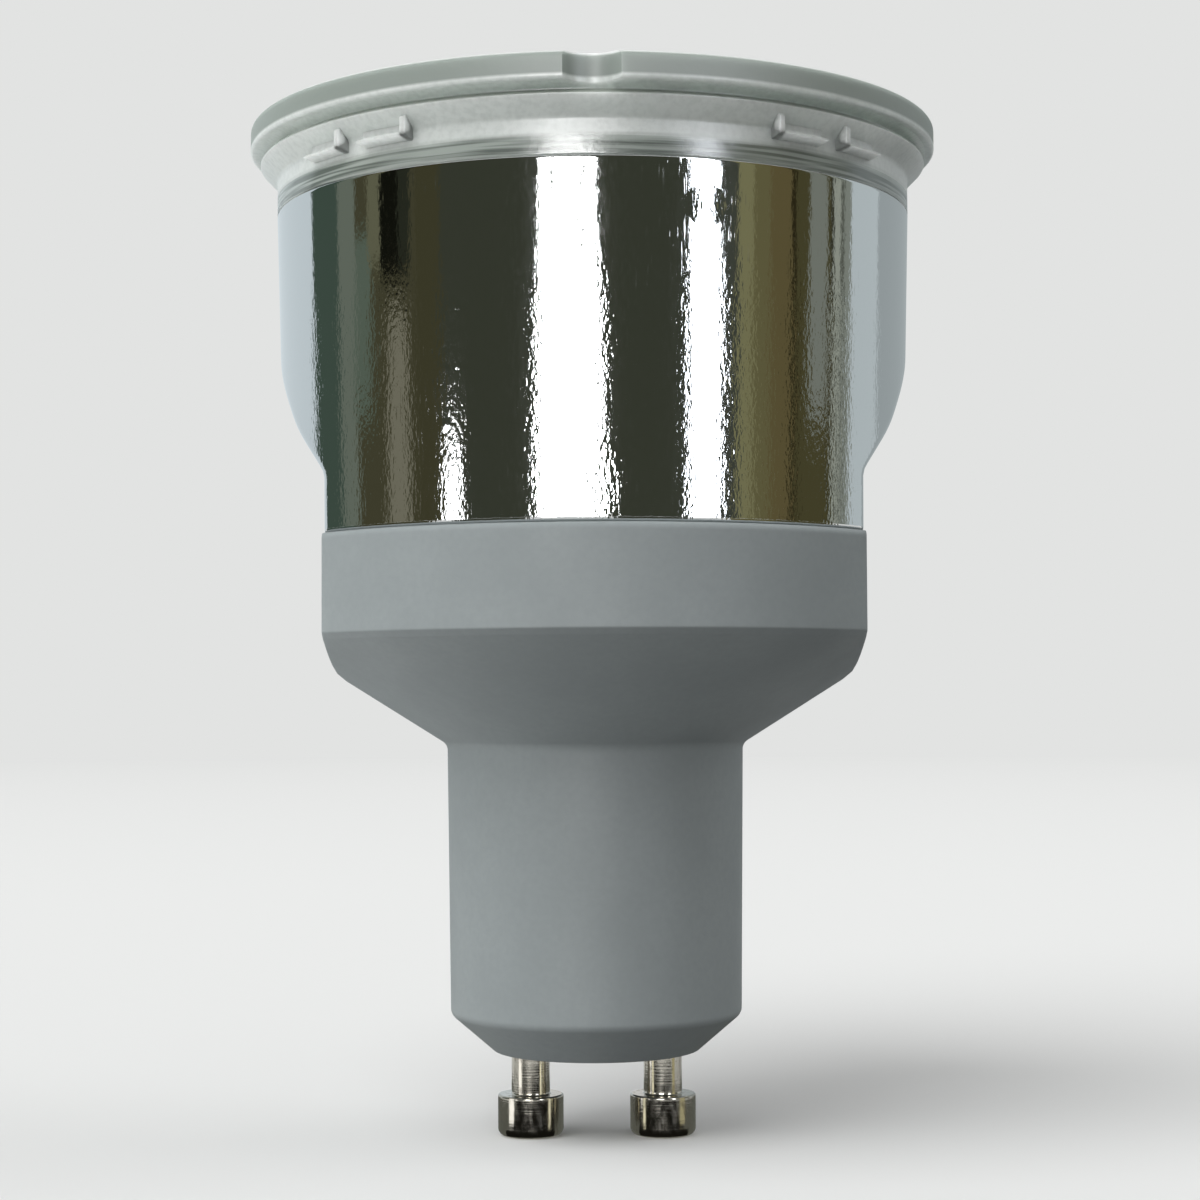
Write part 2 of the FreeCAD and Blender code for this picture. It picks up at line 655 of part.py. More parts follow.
def choke_winding():
    """Layered coil between the bobbin flanges."""
    high = core_top() - CORE_YOKE - BOBBIN_FLANGE
    low = high - window_height() + 2.0 * BOBBIN_FLANGE
    bx, by = bobbin_half()
    ix = bx + BOBBIN_GAP
    iy = by + BOBBIN_GAP
    ox = CHOKE_LENGTH / 2.0 - CORE_SIDE - WINDING_CLEARANCE
    oy = CHOKE_DEPTH / 2.0
    coil = block(-ox, ox, CHOKE_Y - oy, CHOKE_Y + oy, low, high)
    uprights = [e for e in coil.Edges if abs(e.CenterOfMass.z - (low + high) / 2.0) < 1e-3]
    coil = coil.makeFillet(min(ox - ix, oy - iy) * WINDING_ROUND, uprights)
    return coil.cut(block(-ix, ix, CHOKE_Y - iy, CHOKE_Y + iy, low, high))


def can_lead_places():
    return [(side * CAN_LEAD_PITCH / 2.0, CAN_Y) for side in sides()]


def smoothing_capacitor():
    """Sleeved can standing on the rib in the neck, with its leads up through the board."""
    top = CAN_RIB_TOP + CAN_LENGTH
    groove = top - CAN_GROOVE_HEIGHT
    can = turned([
        (0, CAN_RIB_TOP),
        (CAN_RADIUS, CAN_RIB_TOP, CAN_ROUND),
        (CAN_RADIUS, groove - CAN_GROOVE_DEPTH),
        (CAN_RADIUS - CAN_GROOVE_DEPTH, groove),
        (CAN_RADIUS, groove + CAN_GROOVE_DEPTH),
        (CAN_RADIUS, top, CAN_ROUND),
        (CAN_RADIUS - CAN_CURL, top),
        (CAN_RADIUS - CAN_CURL, top - CAN_SINK),
        (0, top - CAN_SINK),
    ])
    can.translate(vec(0, CAN_Y, 0))
    return fused([can] + leads_through(can_lead_places(), top - CAN_SINK - LEAD_ROOT))


def drive_ring():
    """Ferrite ring that switches the two transistors, standing off the board."""
    top = BOARD_UNDER - RING_STANDOFF - COIL_WALL
    ring = cylinder(RING_RADIUS, 0, RING_Y, top - RING_HEIGHT, top)
    return ring.cut(cylinder(RING_BORE, 0, RING_Y, 0, ALL))


def coil_angles():
    return (90.0, 210.0, 330.0)


def coil_lead_places():
    radius = RING_RADIUS + COIL_GAP + COIL_WALL / 2.0
    places = []
    for angle in coil_angles():
        for side in sides():
            a = math.radians(angle + side * COIL_ARC * COIL_LEAD_SHARE)
            places.append((radius * math.cos(a), RING_Y + radius * math.sin(a)))
    return places


def ring_coils():
    """Three short windings, each a wrap round the ring with two ends through the board."""
    top = BOARD_UNDER - RING_STANDOFF - COIL_WALL
    bottom = top - RING_HEIGHT
    inner = RING_BORE - COIL_GAP - COIL_WALL
    outer = RING_RADIUS + COIL_GAP + COIL_WALL
    wraps = []
    for angle in coil_angles():
        wrap = Part.Face(outline([
            (inner, bottom - COIL_WALL, COIL_ROUND),
            (outer, bottom - COIL_WALL, COIL_ROUND),
            (outer, top + COIL_WALL, COIL_ROUND),
            (inner, top + COIL_WALL, COIL_ROUND),
        ])).revolve(vec(0, 0, 0), vec(0, 0, 1), COIL_ARC)
        window = Part.Face(outline([
            (inner + COIL_WALL, bottom),
            (outer - COIL_WALL, bottom),
            (outer - COIL_WALL, top),
            (inner + COIL_WALL, top),
        ])).revolve(vec(0, 0, 0), vec(0, 0, 1), COIL_ARC)
        wrap = wrap.cut(window)
        wrap.rotate(vec(0, 0, 0), vec(0, 0, 1), angle - COIL_ARC / 2.0)
        wrap.translate(vec(0, RING_Y, 0))
        wraps.append(wrap)
    leads = leads_through(coil_lead_places(), top - COIL_WALL)
    solids = []
    for i, wrap in enumerate(wraps):
        solids.append(fused([wrap, leads[2 * i], leads[2 * i + 1]]))
    return Part.makeCompound(solids)


def transistor_lead_places(side):
    return [(side * TRANSISTOR_X, TRANSISTOR_Y + TRANSISTOR_PITCH * i) for i in (-1, 0, 1)]


def transistor(side):
    """Small D-shaped power transistor with three leads."""
    x = side * TRANSISTOR_X
    low = BOARD_UNDER - TRANSISTOR_HEIGHT
    body = cylinder(TRANSISTOR_RADIUS, x, TRANSISTOR_Y, low, BOARD_UNDER)
    near = x - side * TRANSISTOR_FLAT
    far = x + side * ALL
    keep = block(min(near, far), max(near, far), TRANSISTOR_Y - TRANSISTOR_RADIUS,
                 TRANSISTOR_Y + TRANSISTOR_RADIUS, low, BOARD_UNDER)
    leads = leads_through(transistor_lead_places(side), BOARD_UNDER - LEAD_ROOT)
    return fused([body.common(keep)] + leads)


def film_lead_places(side):
    return [(side * FILM_X, FILM_Y + end * FILM_PITCH / 2.0) for end in sides()]


def film_capacitor(side, length, height):
    """Dipped film capacitor with rounded edges."""
    x = side * FILM_X
    half = FILM_WIDTH / 2.0
    body = block(x - half, x + half, FILM_Y - length / 2.0, FILM_Y + length / 2.0,
                 BOARD_UNDER - height, BOARD_UNDER)
    edges = [e for e in body.Edges if e.CenterOfMass.z < BOARD_UNDER - 0.01]
    body = body.makeFillet(FILM_ROUND, edges)
    return fused([body] + leads_through(film_lead_places(side), BOARD_UNDER - LEAD_ROOT))


def drum_lead_places():
    return [(side * DRUM_PITCH / 2.0, DRUM_Y) for side in sides()]


def filter_inductor():
    """Drum core with its winding in the waist."""
    low = BOARD_UNDER - DRUM_HEIGHT
    drum = turned([
        (0, low),
        (DRUM_RADIUS, low, DRUM_EDGE),
        (DRUM_RADIUS, low + DRUM_FLANGE),
        (DRUM_WAIST, low + DRUM_FLANGE + DRUM_EDGE),
        (DRUM_WAIST, BOARD_UNDER - DRUM_FLANGE - DRUM_EDGE),
        (DRUM_RADIUS, BOARD_UNDER - DRUM_FLANGE),
        (DRUM_RADIUS, BOARD_UNDER),
        (0, BOARD_UNDER),
    ])
    drum.translate(vec(0, DRUM_Y, 0))
    return fused([drum] + leads_through(drum_lead_places(), BOARD_UNDER - LEAD_ROOT))


def hairpin_end(place):
    """Where the second lead of an upright part comes back to the board."""
    x, y, direction = place
    angle = math.radians(direction)
    return (x + HAIRPIN_PITCH * math.cos(angle), y + HAIRPIN_PITCH * math.sin(angle))


def upright_part(place, radius, length):
    """Axial part on end under the board, its far lead bent back up in a hairpin."""
    x, y, direction = place
    x2, y2 = hairpin_end(place)
    low = BOARD_UNDER - length
    body = cylinder(radius, x, y, low, BOARD_UNDER)
    start = vec(x, y, low)
    end = vec(x2, y2, low)
    crown = (start + end) * 0.5 - vec(0, 0, HAIRPIN_PITCH / 2.0)
    arc = Part.Wire(Part.Arc(start, crown, end).toShape())
    ring = Part.Wire(Part.makeCircle(LEAD_RADIUS, start, vec(0, 0, 1)))
    bow = arc.makePipeShell([ring], True, True)
    back = cylinder(LEAD_RADIUS, x2, y2, low, BOARD_OVER + LEAD_PROUD)
    stub = cylinder(LEAD_RADIUS, x, y, BOARD_UNDER - LEAD_ROOT, BOARD_OVER + LEAD_PROUD)
    return fused([body, stub, bow, back])


def diode_places():
    places = []
    for side in sides():
        for x in (DIODE_INNER_X, DIODE_OUTER_X):
            places.append((side * x, DIODE_Y, -90.0))
    return places


def resistor_places():
    places = []
    for side in sides():
        outward = 90.0 - side * 90.0
        places.append((side * RESISTOR_BACK_X, RESISTOR_BACK_Y, outward))
        places.append((side * RESISTOR_FRONT_X, RESISTOR_FRONT_Y, outward + side * RESISTOR_TURN))
    return places


def fuse_places():
    return [(FUSE_X, FUSE_Y, -100.0)]


def upright_group(places, radius, length):
    return Part.makeCompound([upright_part(place, radius, length) for place in places])


def pin_wire_places(side):
    return [(side * PIN_WIRE_HOLE_X, PIN_WIRE_Y)]


def pin_wire(side):
    """Insulated wire from the bore of a pin, round the can and up through the board."""
    x = side * PIN_SPACING / 2.0
    seat = END_WALL + PIN_BOSS_HEIGHT + PIN_RIVET_HEIGHT - PIN_BORE_DEPTH
    out = side * math.sqrt((NECK_BORE - PIN_WIRE_GAP - WIRE_RADIUS) ** 2 - PIN_WIRE_Y ** 2)
    hole = side * PIN_WIRE_HOLE_X
    points = [
        vec(x, 0, seat),
        vec(x, 0, PIN_WIRE_RISE),
        vec(out, PIN_WIRE_Y, PIN_WIRE_RISE + PIN_WIRE_CLIMB),
        vec(out, PIN_WIRE_Y, NECK_TOP),
        vec(hole, PIN_WIRE_Y, CONE_TOP),
        vec(hole, PIN_WIRE_Y, BOARD_OVER + LEAD_PROUD),
    ]
    return tube_path(points, WIRE_RADIUS, PIN_WIRE_TURN)


def circuit_board():
    """Board on the ledge, drilled for every lead and wire."""
    radius = BASE_BORE - BOARD_CLEARANCE
    flat = BASE_BORE_FLAT - BOARD_CLEARANCE
    board = between_flats(radius, flat, 0, BOARD_UNDER, BOARD_OVER)
    places = choke_lead_places() + can_lead_places() + coil_lead_places() + drum_lead_places()
    places += tube_lead_places(0) + tube_lead_places(1)
    for side in sides():
        places += transistor_lead_places(side) + film_lead_places(side)
    for place in diode_places() + resistor_places() + fuse_places():
        places.append(place[:2])
        places.append(hairpin_end(place))
    holes = [cylinder(HOLE_RADIUS, x, y, 0, ALL) for x, y in places]
    for side in sides():
        for x, y in pin_wire_places(side):
            holes.append(cylinder(WIRE_RADIUS + HOLE_CLEARANCE, x, y, 0, ALL))
    return board.cut(Part.makeCompound(holes))


def all_parts():
    return {
        "front_cover": front_cover(),
        "mirror_housing": mirror_housing(),
        "base_housing": base_housing(),
        "left_pin": pin(-1.0),
        "right_pin": pin(1.0),
        "tube_holder": tube_holder(),
        "discharge_tube": discharge_tube(),
        "right_tube_leads": tube_leads(0),
        "left_tube_leads": tube_leads(1),
        "circuit_board": circuit_board(),
        "choke_core": choke_core(),
        "choke_bobbin": choke_bobbin(),
        "choke_winding": choke_winding(),
        "smoothing_capacitor": smoothing_capacitor(),
        "drive_ring": drive_ring(),
        "ring_coils": ring_coils(),
        "left_transistor": transistor(-1.0),
        "right_transistor": transistor(1.0),
        "resonance_capacitor": film_capacitor(-1.0, FILM_LENGTH, FILM_HEIGHT),
        "starting_capacitor": film_capacitor(1.0, START_LENGTH, START_HEIGHT),
        "filter_inductor": filter_inductor(),
        "rectifier_diodes": upright_group(diode_places(), DIODE_RADIUS, DIODE_LENGTH),
        "resistors": upright_group(resistor_places(), RESISTOR_RADIUS, RESISTOR_LENGTH),
        "fusible_resistor": upright_group(fuse_places(), FUSE_RADIUS, FUSE_LENGTH),
        "left_pin_wire": pin_wire(-1.0),
        "right_pin_wire": pin_wire(1.0),
    }


os.makedirs("parts", exist_ok=True)
for name, shape in all_parts().items():
    print(name, len(shape.Solids), round(shape.Volume, 2), shape.isValid())
    shape.exportStep("parts/" + name + ".step")
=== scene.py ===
import math

import bmesh
import bpy
from mathutils import Matrix, Vector


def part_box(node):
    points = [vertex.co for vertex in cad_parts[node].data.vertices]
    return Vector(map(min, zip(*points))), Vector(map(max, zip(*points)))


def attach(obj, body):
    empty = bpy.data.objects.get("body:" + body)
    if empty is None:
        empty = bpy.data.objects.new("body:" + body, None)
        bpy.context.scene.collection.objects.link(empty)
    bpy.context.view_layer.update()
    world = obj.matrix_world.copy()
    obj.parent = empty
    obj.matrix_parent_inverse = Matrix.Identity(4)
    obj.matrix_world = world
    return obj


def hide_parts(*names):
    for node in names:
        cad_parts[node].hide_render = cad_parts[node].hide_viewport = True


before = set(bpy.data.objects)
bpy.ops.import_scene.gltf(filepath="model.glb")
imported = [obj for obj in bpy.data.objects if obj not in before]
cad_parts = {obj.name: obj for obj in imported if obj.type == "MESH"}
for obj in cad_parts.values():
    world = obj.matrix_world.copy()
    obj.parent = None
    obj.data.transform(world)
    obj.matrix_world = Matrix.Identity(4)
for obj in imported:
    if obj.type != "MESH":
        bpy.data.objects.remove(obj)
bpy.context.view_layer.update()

bl_info = {
    "name": "Reflector Lamp",
    "version": (1, 0, 0),
    "blender": (4, 5, 0),
    "location": "View3D > Sidebar > Reflector Lamp",
    "description": "Dresses a two-pin reflector lamp with a frosted cover and a mirrored housing",
    "category": "Object",
}

MM = 0.001

# How finely the shells are drawn: the steps in a rounding and at a sharp corner, the share of a side that a
# rounding may take, the row beside it, the longest rows, and the columns round each shell. Offsets beside an
# edge are in degrees.
ARC_STEPS = 6
SHARP = 0.08 * MM
SHARP_STEPS = 2
ROUNDING_SHARE = 0.45
SUPPORT = 0.12 * MM
LONGEST_ROW = 1.1 * MM
MIRROR_ROW = 0.5 * MM
PIN_ROW = 0.6 * MM
SAME_POINT = 0.0005 * MM
EDGE_OFFSETS = (0.3, 0.65, 1.05, 1.6, 2.3, 3.2)
SMALLEST_EDGE = 6.0
FLAT_COLUMNS = 12
ROUND_COLUMNS = 34
GATE_COLUMNS = 12
GATE_OFFSETS = (0.02, 0.06, 0.15, 0.3, 0.6, -0.02, -0.06, -0.15)
COVER_COLUMNS = 220
PIN_COLUMNS = 56
LUG_COLUMNS = 10

# The catch lugs: how many, their bevel, and from how many degrees an edge is bevelled or stays sharp.
LUG_COUNT = 8
LUG_BEVEL = 0.07 * MM
LUG_BEVEL_FROM = 25.0
LUG_SHARP_FROM = 50.0

COVER_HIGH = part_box("front_cover")[1]
MIRROR_LOW, MIRROR_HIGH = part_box("mirror_housing")
BASE_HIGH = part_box("base_housing")[1]
PIN_LOW, PIN_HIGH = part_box("right_pin")


def colour(code):
    """Linear colour with alpha from an sRGB hex value."""
    channels = [int(code[i:i + 2], 16) / 255.0 for i in (0, 2, 4)]
    linear = [c / 12.92 if c <= 0.04045 else ((c + 0.055) / 1.055) ** 2.4 for c in channels]
    return (*linear, 1.0)


def length(name, value, description):
    """Property for a length, given in millimetres."""
    return bpy.props.FloatProperty(
        name=name, default=value * MM, unit="LENGTH", precision=5, description=description)


def degrees(name, value, description):
    """Property for an angle, given in degrees."""
    return bpy.props.FloatProperty(
        name=name, default=math.radians(value), subtype="ANGLE", description=description)


def paint(name, code, description):
    """Property for a colour, given as an sRGB hex value."""
    return bpy.props.FloatVectorProperty(
        name=name, default=colour(code), size=4, min=0.0, max=1.0, subtype="COLOR", description=description)


class LampSizes(bpy.types.PropertyGroup):
    """Sizes of the shells that show, in metres."""
    face_radius: length("End face radius", 7.75, "Flat end between the pins")
    face_round: length("End face rounding", 0.4, "Rounding round the end face")
    bevel_height: length("Bevel height", 2.8, "Height of the bevelled end")
    neck_low_radius: length("Neck radius, low", 11.0, "Neck at the bevel")
    neck_high_radius: length("Neck radius, high", 11.22, "Neck under the cone")
    neck_top: length("Neck top", 23.05, "Height where the cone starts")
    neck_round: length("Neck rounding", 0.8, "Rounding at both ends of the neck")
    cone_top: length("Cone top", 30.75, "Height where the collar starts")
    cone_top_radius: length("Cone top radius", 23.4, "Cone under the collar")
    collar_edge: length("Collar edge", 0.45, "Rounded edges of the collar")
    base_wall: length("Base wall", 1.3, "Wall of the base housing")
    end_wall: length("End wall", 2.2, "Wall behind the end face")
    collar_corner: length("Collar corner", 0.35, "Softness beside the collar's flats")
    ledge_width: length("Board ledge width", 1.0, "Ledge that the board lies on")
    ledge_top: length("Board ledge top", 33.3, "Height of that ledge")
    mirror_low_radius: length("Mirror radius, low", 23.4, "Mirrored housing at the collar")
    mirror_flat: length("Mirror flat", 19.15, "Half width over the side flats")
    mirror_edge: length("Mirror edge", 0.3, "Rounded lower edge of the mirror")
    mirror_wall: length("Mirror wall", 1.4, "Wall of the mirrored housing")
    mirror_top: length("Mirror top", 62.9, "Height where the cover starts")
    scoop_start: length("Scoop start", 42.6, "Where the side flat turns outward")
    scoop_end: length("Scoop end", 51.7, "Where the slope meets the round wall")
    scoop_reach: length("Scoop reach", 24.0, "Half width at the scoop end")
    scoop_knee: length("Scoop knee", 46.2, "Where the slope turns steeper")
    scoop_knee_width: length("Scoop knee width", 21.6, "Half width at that height")
    scoop_knee_blend: length("Scoop knee blend", 0.25, "Softness of the slope there")
    scoop_blend: length("Scoop blend", 0.3, "Softness of the scoop's inner corner")
    crease_blend: length("Crease blend", 0.35, "Softness beside the side flats")
    shoulder_blend: length("Shoulder blend", 0.6, "Softness over the scoops")
    plate_ledge_rise: length("Plate ledge", 1.0, "Height of the ledge under the tube plate")
    clearance: length("Joint clearance", 0.15, "Gap round the spigot and the lip")
    spigot_wall: length("Spigot wall", 1.2, "Wall of the spigot in the collar")
    lip_wall: length("Lip wall", 0.8, "Wall of the lip inside the cover")
    lip_root: length("Lip root", 1.6, "How far down the lip joins the wall")
    skirt_wall: length("Skirt wall", 1.15, "Wall of the cover's skirt")
    rim_height: length("Rim height", 1.9, "Thickness of the cover's rim")
    rim_round: length("Rim rounding", 0.45, "Upper edge of the rim")
    rim_under_round: length("Rim under rounding", 0.2, "Lower edge of the rim")
    rim_land: length("Rim land", 2.4, "Flat ring outside the lens")
    groove_radius: length("Groove radius", 24.45, "Bottom of the groove under the rim")
    groove_low_side: length("Groove low side", 0.4, "Height of the groove's lower side")
    rim_out: length("Rim reach", 0.65, "How far the rim overhangs the flare")
    flare_out: length("Flare reach", 1.35, "How far the flare overhangs the skirt")
    flare_cove: length("Flare cove", 0.5, "Rounding under the flare")
    flare_edge: length("Flare edge", 0.12, "Rounding of the flare's edge")
    flare_top: length("Flare top", 66.8, "Height of the flare's edge")
    flare_bottom: length("Flare bottom", 65.45, "Where the flare meets the skirt")
    cover_roof: length("Lens thickness", 1.4, "Thickness of the lens")
    lens_edge: length("Lens edge", 0.3, "Rounding of the step to the lens")
    lens_sink: length("Lens step", 0.6, "Step down from the rim to the lens")
    lens_crown: length("Lens crown", 0.5, "Rise of the lens at its centre")
    gate_radius: length("Gate radius", 2.3, "Scallop at the front of the rim")
    gate_depth: length("Gate depth", 1.2, "Depth of that scallop")
    lug_top: length("Lug top", 66.4, "Upper end of a catch lug")
    lug_lip: length("Lug lip", 65.0, "Height of a lug's lip")
    lug_bottom: length("Lug bottom", 64.65, "Lower end of a catch lug")
    lug_reach: length("Lug reach", 1.0, "How far a lug stands out")
    lug_root: length("Lug root", 0.4, "How deep a lug sits in the skirt")
    lug_valley: length("Lug valley", 0.3, "How far it stands out over its lip")
    lug_lip_fall: length("Lug lip fall", 0.3, "Height of the lip's upper slope")
    lug_end_chamfer: length("Lug end chamfer", 0.3, "Cut corner of a lug's end wall")
    lug_edge: length("Lug edge", 0.12, "Flat of a lug's lip")
    lug_width: degrees("Lug width", 10.2, "Angle that one lug covers")
    lug_end_width: degrees("Lug end wall", 1.1, "Angle that a lug's end wall covers")
    lug_pair_centre: degrees("Lug pair place", 43.0, "From the front to the middle of a pair")
    lug_pair_spread: degrees("Lug pair spread", 14.4, "Between the two lugs of a pair")
    pin_shank_radius: length("Pin shank radius", 1.45, "Shank between head and end face")
    pin_shank_length: length("Pin shank length", 3.35, "From the end face to the head")
    pin_head_round: length("Pin head rounding", 0.55, "Rounded end of the head")
    pin_edge: length("Pin edge", 0.15, "Broken edges of head and rivet")
    pin_rivet_radius: length("Pin rivet radius", 2.0, "Rivet inside the base")
    pin_rivet_height: length("Pin rivet height", 0.9, "Thickness of the rivet")
    pin_bore_radius: length("Pin bore radius", 0.85, "Bore for the wire")
    pin_bore_depth: length("Pin bore depth", 4.2, "Depth of that bore")


class LampColours(bpy.types.PropertyGroup):
    """Colours of the finishes that show."""
    cover: paint("Cover", "E0E6E2", "Frosted cover")
    # Painted shade: the rim wall is coloured darker because the thick rim lets less light through than the
    # skirt.
    cover_rim_shade: paint("Cover rim", "8E9791", "Thick rim, which lets less light through")
    # Painted shade: the skirt's foot is coloured darker where the housing's lip stands behind it.
    cover_band_shade: paint("Cover band", "6C746E", "Foot of the skirt over the housing's lip")
    base: paint("Base", "949B9C", "Moulded base")
    mirror: paint("Mirror", "D6D8D8", "Metallised coat")
    pins: paint("Pins", "B9B5AB", "Nickel plate")
    floor: paint("Floor", "E4E5E4", "Studio floor")
    backdrop: paint("Backdrop", "E2E3E2", "What is seen round the floor")


class StudioSizes(bpy.types.PropertyGroup):
    """Camera and stage."""
    camera_distance: length("Camera distance", 185.0, "From the lamp's axis")
    camera_height: length("Camera height", 26.4, "Above the end face of the base")
    focal_share: bpy.props.FloatProperty(
        name="Focal length share", default=2425.0 / 1200.0, description="Focal length over frame width")
    pitch: degrees("Pitch", 2.35, "How far the camera looks up")
    roll: degrees("Roll", -0.28, "Turn of the picture")
    yaw: degrees("Yaw", 0.13, "Turn to the right of the axis")
    card_distance: length("Card distance", 620.0, "Radius of the ring of cards")
    ambient: bpy.props.FloatProperty(
        name="Ambient", default=0.46, description="Level of the light from all round")


def add(tree, kind, inputs=None, out=0, family="ShaderNode", **settings):
    """Adds a node with its settings, sets or links its inputs, and returns one of its outputs."""
    made = tree.nodes.new(family + kind)
    for name, value in settings.items():
        setattr(made, name, value)
    for key, value in (inputs or {}).items():
        if isinstance(value, bpy.types.NodeSocket):
            tree.links.new(value, made.inputs[key])
        else:
            made.inputs[key].default_value = value
    return made.outputs[out] if len(made.outputs) else None


def blank(name):
    """New material with an empty node tree."""
    material = bpy.data.materials.new(name)
    material.use_nodes = True
    material.node_tree.nodes.clear()
    return material, material.node_tree


def surface(name, shown):
    """New material for a piece, its tree, and the place on the piece in metres."""
    material, tree = blank(name)
    material.diffuse_color = shown
    return material, tree, add(tree, "TexCoord", out="Object")


def shaded(material, body, roughness, normal, more=None):
    """The material, finished with its shader."""
    tree = material.node_tree
    inputs = {"Base Color": body, "Roughness": roughness, "Normal": normal, **(more or {})}
    add(tree, "OutputMaterial", {"Surface": add(tree, "BsdfPrincipled", inputs)})
    return material


def specks(tree, where, size, detail=2.0, stretch=(1.0, 1.0, 1.0)):
    """Noise whose cells are about size millimetres wide, stretched along the axes."""
    scale = [1.0 / (size * MM * s) for s in stretch]
    placed = add(tree, "Mapping", {"Vector": where, "Scale": scale})
    return add(tree, "TexNoise", {"Vector": placed, "Scale": 1.0, "Detail": detail})


def tinted(tree, body, tint, value, low=0.0, high=1.0, most=1.0):
    """Body colour that turns to the tint, by a share of up to most, as a value goes from low to high."""
    share = add(tree, "MapRange", {0: value, 1: low, 2: high, 4: most})
    return add(tree, "Mix", {0: share, 6: body, 7: tint}, out=2, data_type="RGBA")


def relief(tree, *layers):
    """Normal for layers of relief, each a height from 0 to 1 and how many millimetres that is."""
    under = {}
    for height, depth in layers:
        under = {"Normal": add(tree, "Bump", {"Height": height, "Distance": depth * MM, **under})}
    return under["Normal"]


def frosted_polycarbonate():
    # Frosted polycarbonate, moulded: pale, faintly green, soft inside, with a fine matt skin.
    paints = bpy.context.scene.lamp_colours
    material, tree, where = surface("frosted_polycarbonate", paints.cover)
    height = add(tree, "SeparateXYZ", {0: where}, out="Z")
    level = add(tree, "VectorMath", {0: where, 1: (1.0, 1.0, 0.0)}, operation="MULTIPLY")
    radius = add(tree, "VectorMath", {0: level}, out="Value", operation="LENGTH")
    rim_low = COVER_HIGH[2] - bpy.context.scene.lamp_sizes.rim_height
    # Where the tones change, among them the painted shade of the rim, the groove and the skirt's foot: what
    # is measured, from where, and the millimetres at which a tone starts and is full.
    zones = {
        "wall": (radius, COVER_HIGH[1], -1.6, -1.4),
        "rim": (height, rim_low, 0.2, 0.4),
        "under": (height, COVER_HIGH[2], -0.05, -0.2),
        "groove": (height, rim_low, -0.9, -0.8),
        "over": (height, rim_low, -0.5, -0.35),
        "foot": (height, bpy.context.scene.lamp_sizes.mirror_top, 1.6, 1.1),
    }
    masks = {}
    for name, (value, base, start, full) in zones.items():
        masks[name] = add(tree, "MapRange", {0: value, 1: base + start * MM, 2: base + full * MM})
    # The rim mask gives the rim's outer wall painted shade and a rougher skin. The rim tone starts a little
    # above the rim's lower edge, so a pale line stays there, between it and the groove: a painted highlight.
    rim = masks["rim"]
    for name in ("wall", "under"):
        rim = add(tree, "Math", {0: rim, 1: masks[name]}, operation="MULTIPLY")
    # Painted shade: the groove under the rim is coloured darker, as if in the rim's shadow.
    groove = {0: masks["groove"], 1: masks["over"]}
    groove = add(tree, "Math", groove, operation="SUBTRACT", use_clamp=True)
    frost = specks(tree, where, 0.45, 4.0)
    lines = specks(tree, where, 0.22, 1.0, (40.0, 40.0, 1.0))
    # Painted shade for the skirt's foot over the housing's lip, with paler streaks in it.
    lip_shade_band = tinted(tree, paints.cover_band_shade, colour("A9B1AB"), lines, 0.4, 0.62)
    body = tinted(tree, paints.cover, colour("D9DFDB"), specks(tree, where, 4.0), 0.3, 0.7)
    body = tinted(tree, body, colour("B4BCB7"), frost, 0.42, 0.66, 0.3)
    # Painted shade on the rim wall.
    body = tinted(tree, body, paints.cover_rim_shade, rim)
    # Painted shade in the groove.
    body = tinted(tree, body, colour("80887F"), groove)
    # Painted shade at the skirt's foot.
    body = tinted(tree, body, lip_shade_band, masks["foot"])
    rough = add(tree, "MapRange", {0: rim, 3: 0.38, 4: 0.52})
    rough = add(tree, "Math", {0: masks["foot"], 1: -0.18, 2: rough}, operation="MULTIPLY_ADD")
    waves = specks(tree, where, 2.5, stretch=(1.0, 1.0, 0.4))
    return shaded(material, body, rough, relief(tree, (frost, 0.013), (waves, 0.02)), {
        "Subsurface Weight": 0.8, "Subsurface Scale": 2.5 * MM, "Subsurface Radius": (1.0, 1.0, 1.0),
        "IOR": 1.585, "Specular IOR Level": 0.95})


def satin_polyester():
    # Glass-filled polyester, moulded: cool pale grey, satin, with a slight cloud and fine grain.
    paints = bpy.context.scene.lamp_colours
    material, tree, where = surface("satin_polyester", paints.base)
    cloud = specks(tree, where, 7.0, 3.0)
    body = tinted(tree, paints.base, colour("8E9596"), cloud, 0.3, 0.7)
    body = tinted(tree, body, colour("889090"), specks(tree, where, 0.5, 3.0), 0.35, 0.7, 0.35)
    rough = add(tree, "MapRange", {0: cloud, 1: 0.3, 2: 0.7, 3: 0.52, 4: 0.62})
    grain = specks(tree, where, 0.22, 3.0)
    normal = relief(tree, (grain, 0.006), (specks(tree, where, 6.0), 0.03))
    return shaded(material, body, rough, normal, {"Specular IOR Level": 0.35})


# Small dents in the mirrored housing: place across and up, reach and height, in millimetres.
MIRROR_DENTS = (
    (-1.8, 59.4, 1.3, -0.07),
    (7.7, 59.7, 1.5, 0.05),
    (-9.3, 53.1, 0.4, 0.02),
    (-9.3, 49.0, 0.45, 0.02),
    (-10.4, 45.0, 0.7, 0.03),
)
# Places where its skin is coarser: place across and up, reach in millimetres, and how much coarser.
MIRROR_CRAZED = (
    (0.0, 40.8, 3.0, 4.0),
    (7.7, 59.7, 1.6, 1.6),
)


def closeness(tree, where, x, z, reach):
    """1 at a place on the mirrored housing's front, falling to 0 at a reach away, all in millimetres."""
    sizes = bpy.context.scene.lamp_sizes
    radius = (COVER_HIGH[1] - sizes.rim_out - sizes.flare_out) / MM
    spot = Vector((x, -math.sqrt(radius * radius - x * x), z)) * MM
    away = add(tree, "VectorMath", {0: where, 1: spot}, out="Value", operation="DISTANCE")
    return add(tree, "MapRange", {0: away, 1: reach * MM, 2: 0.0})


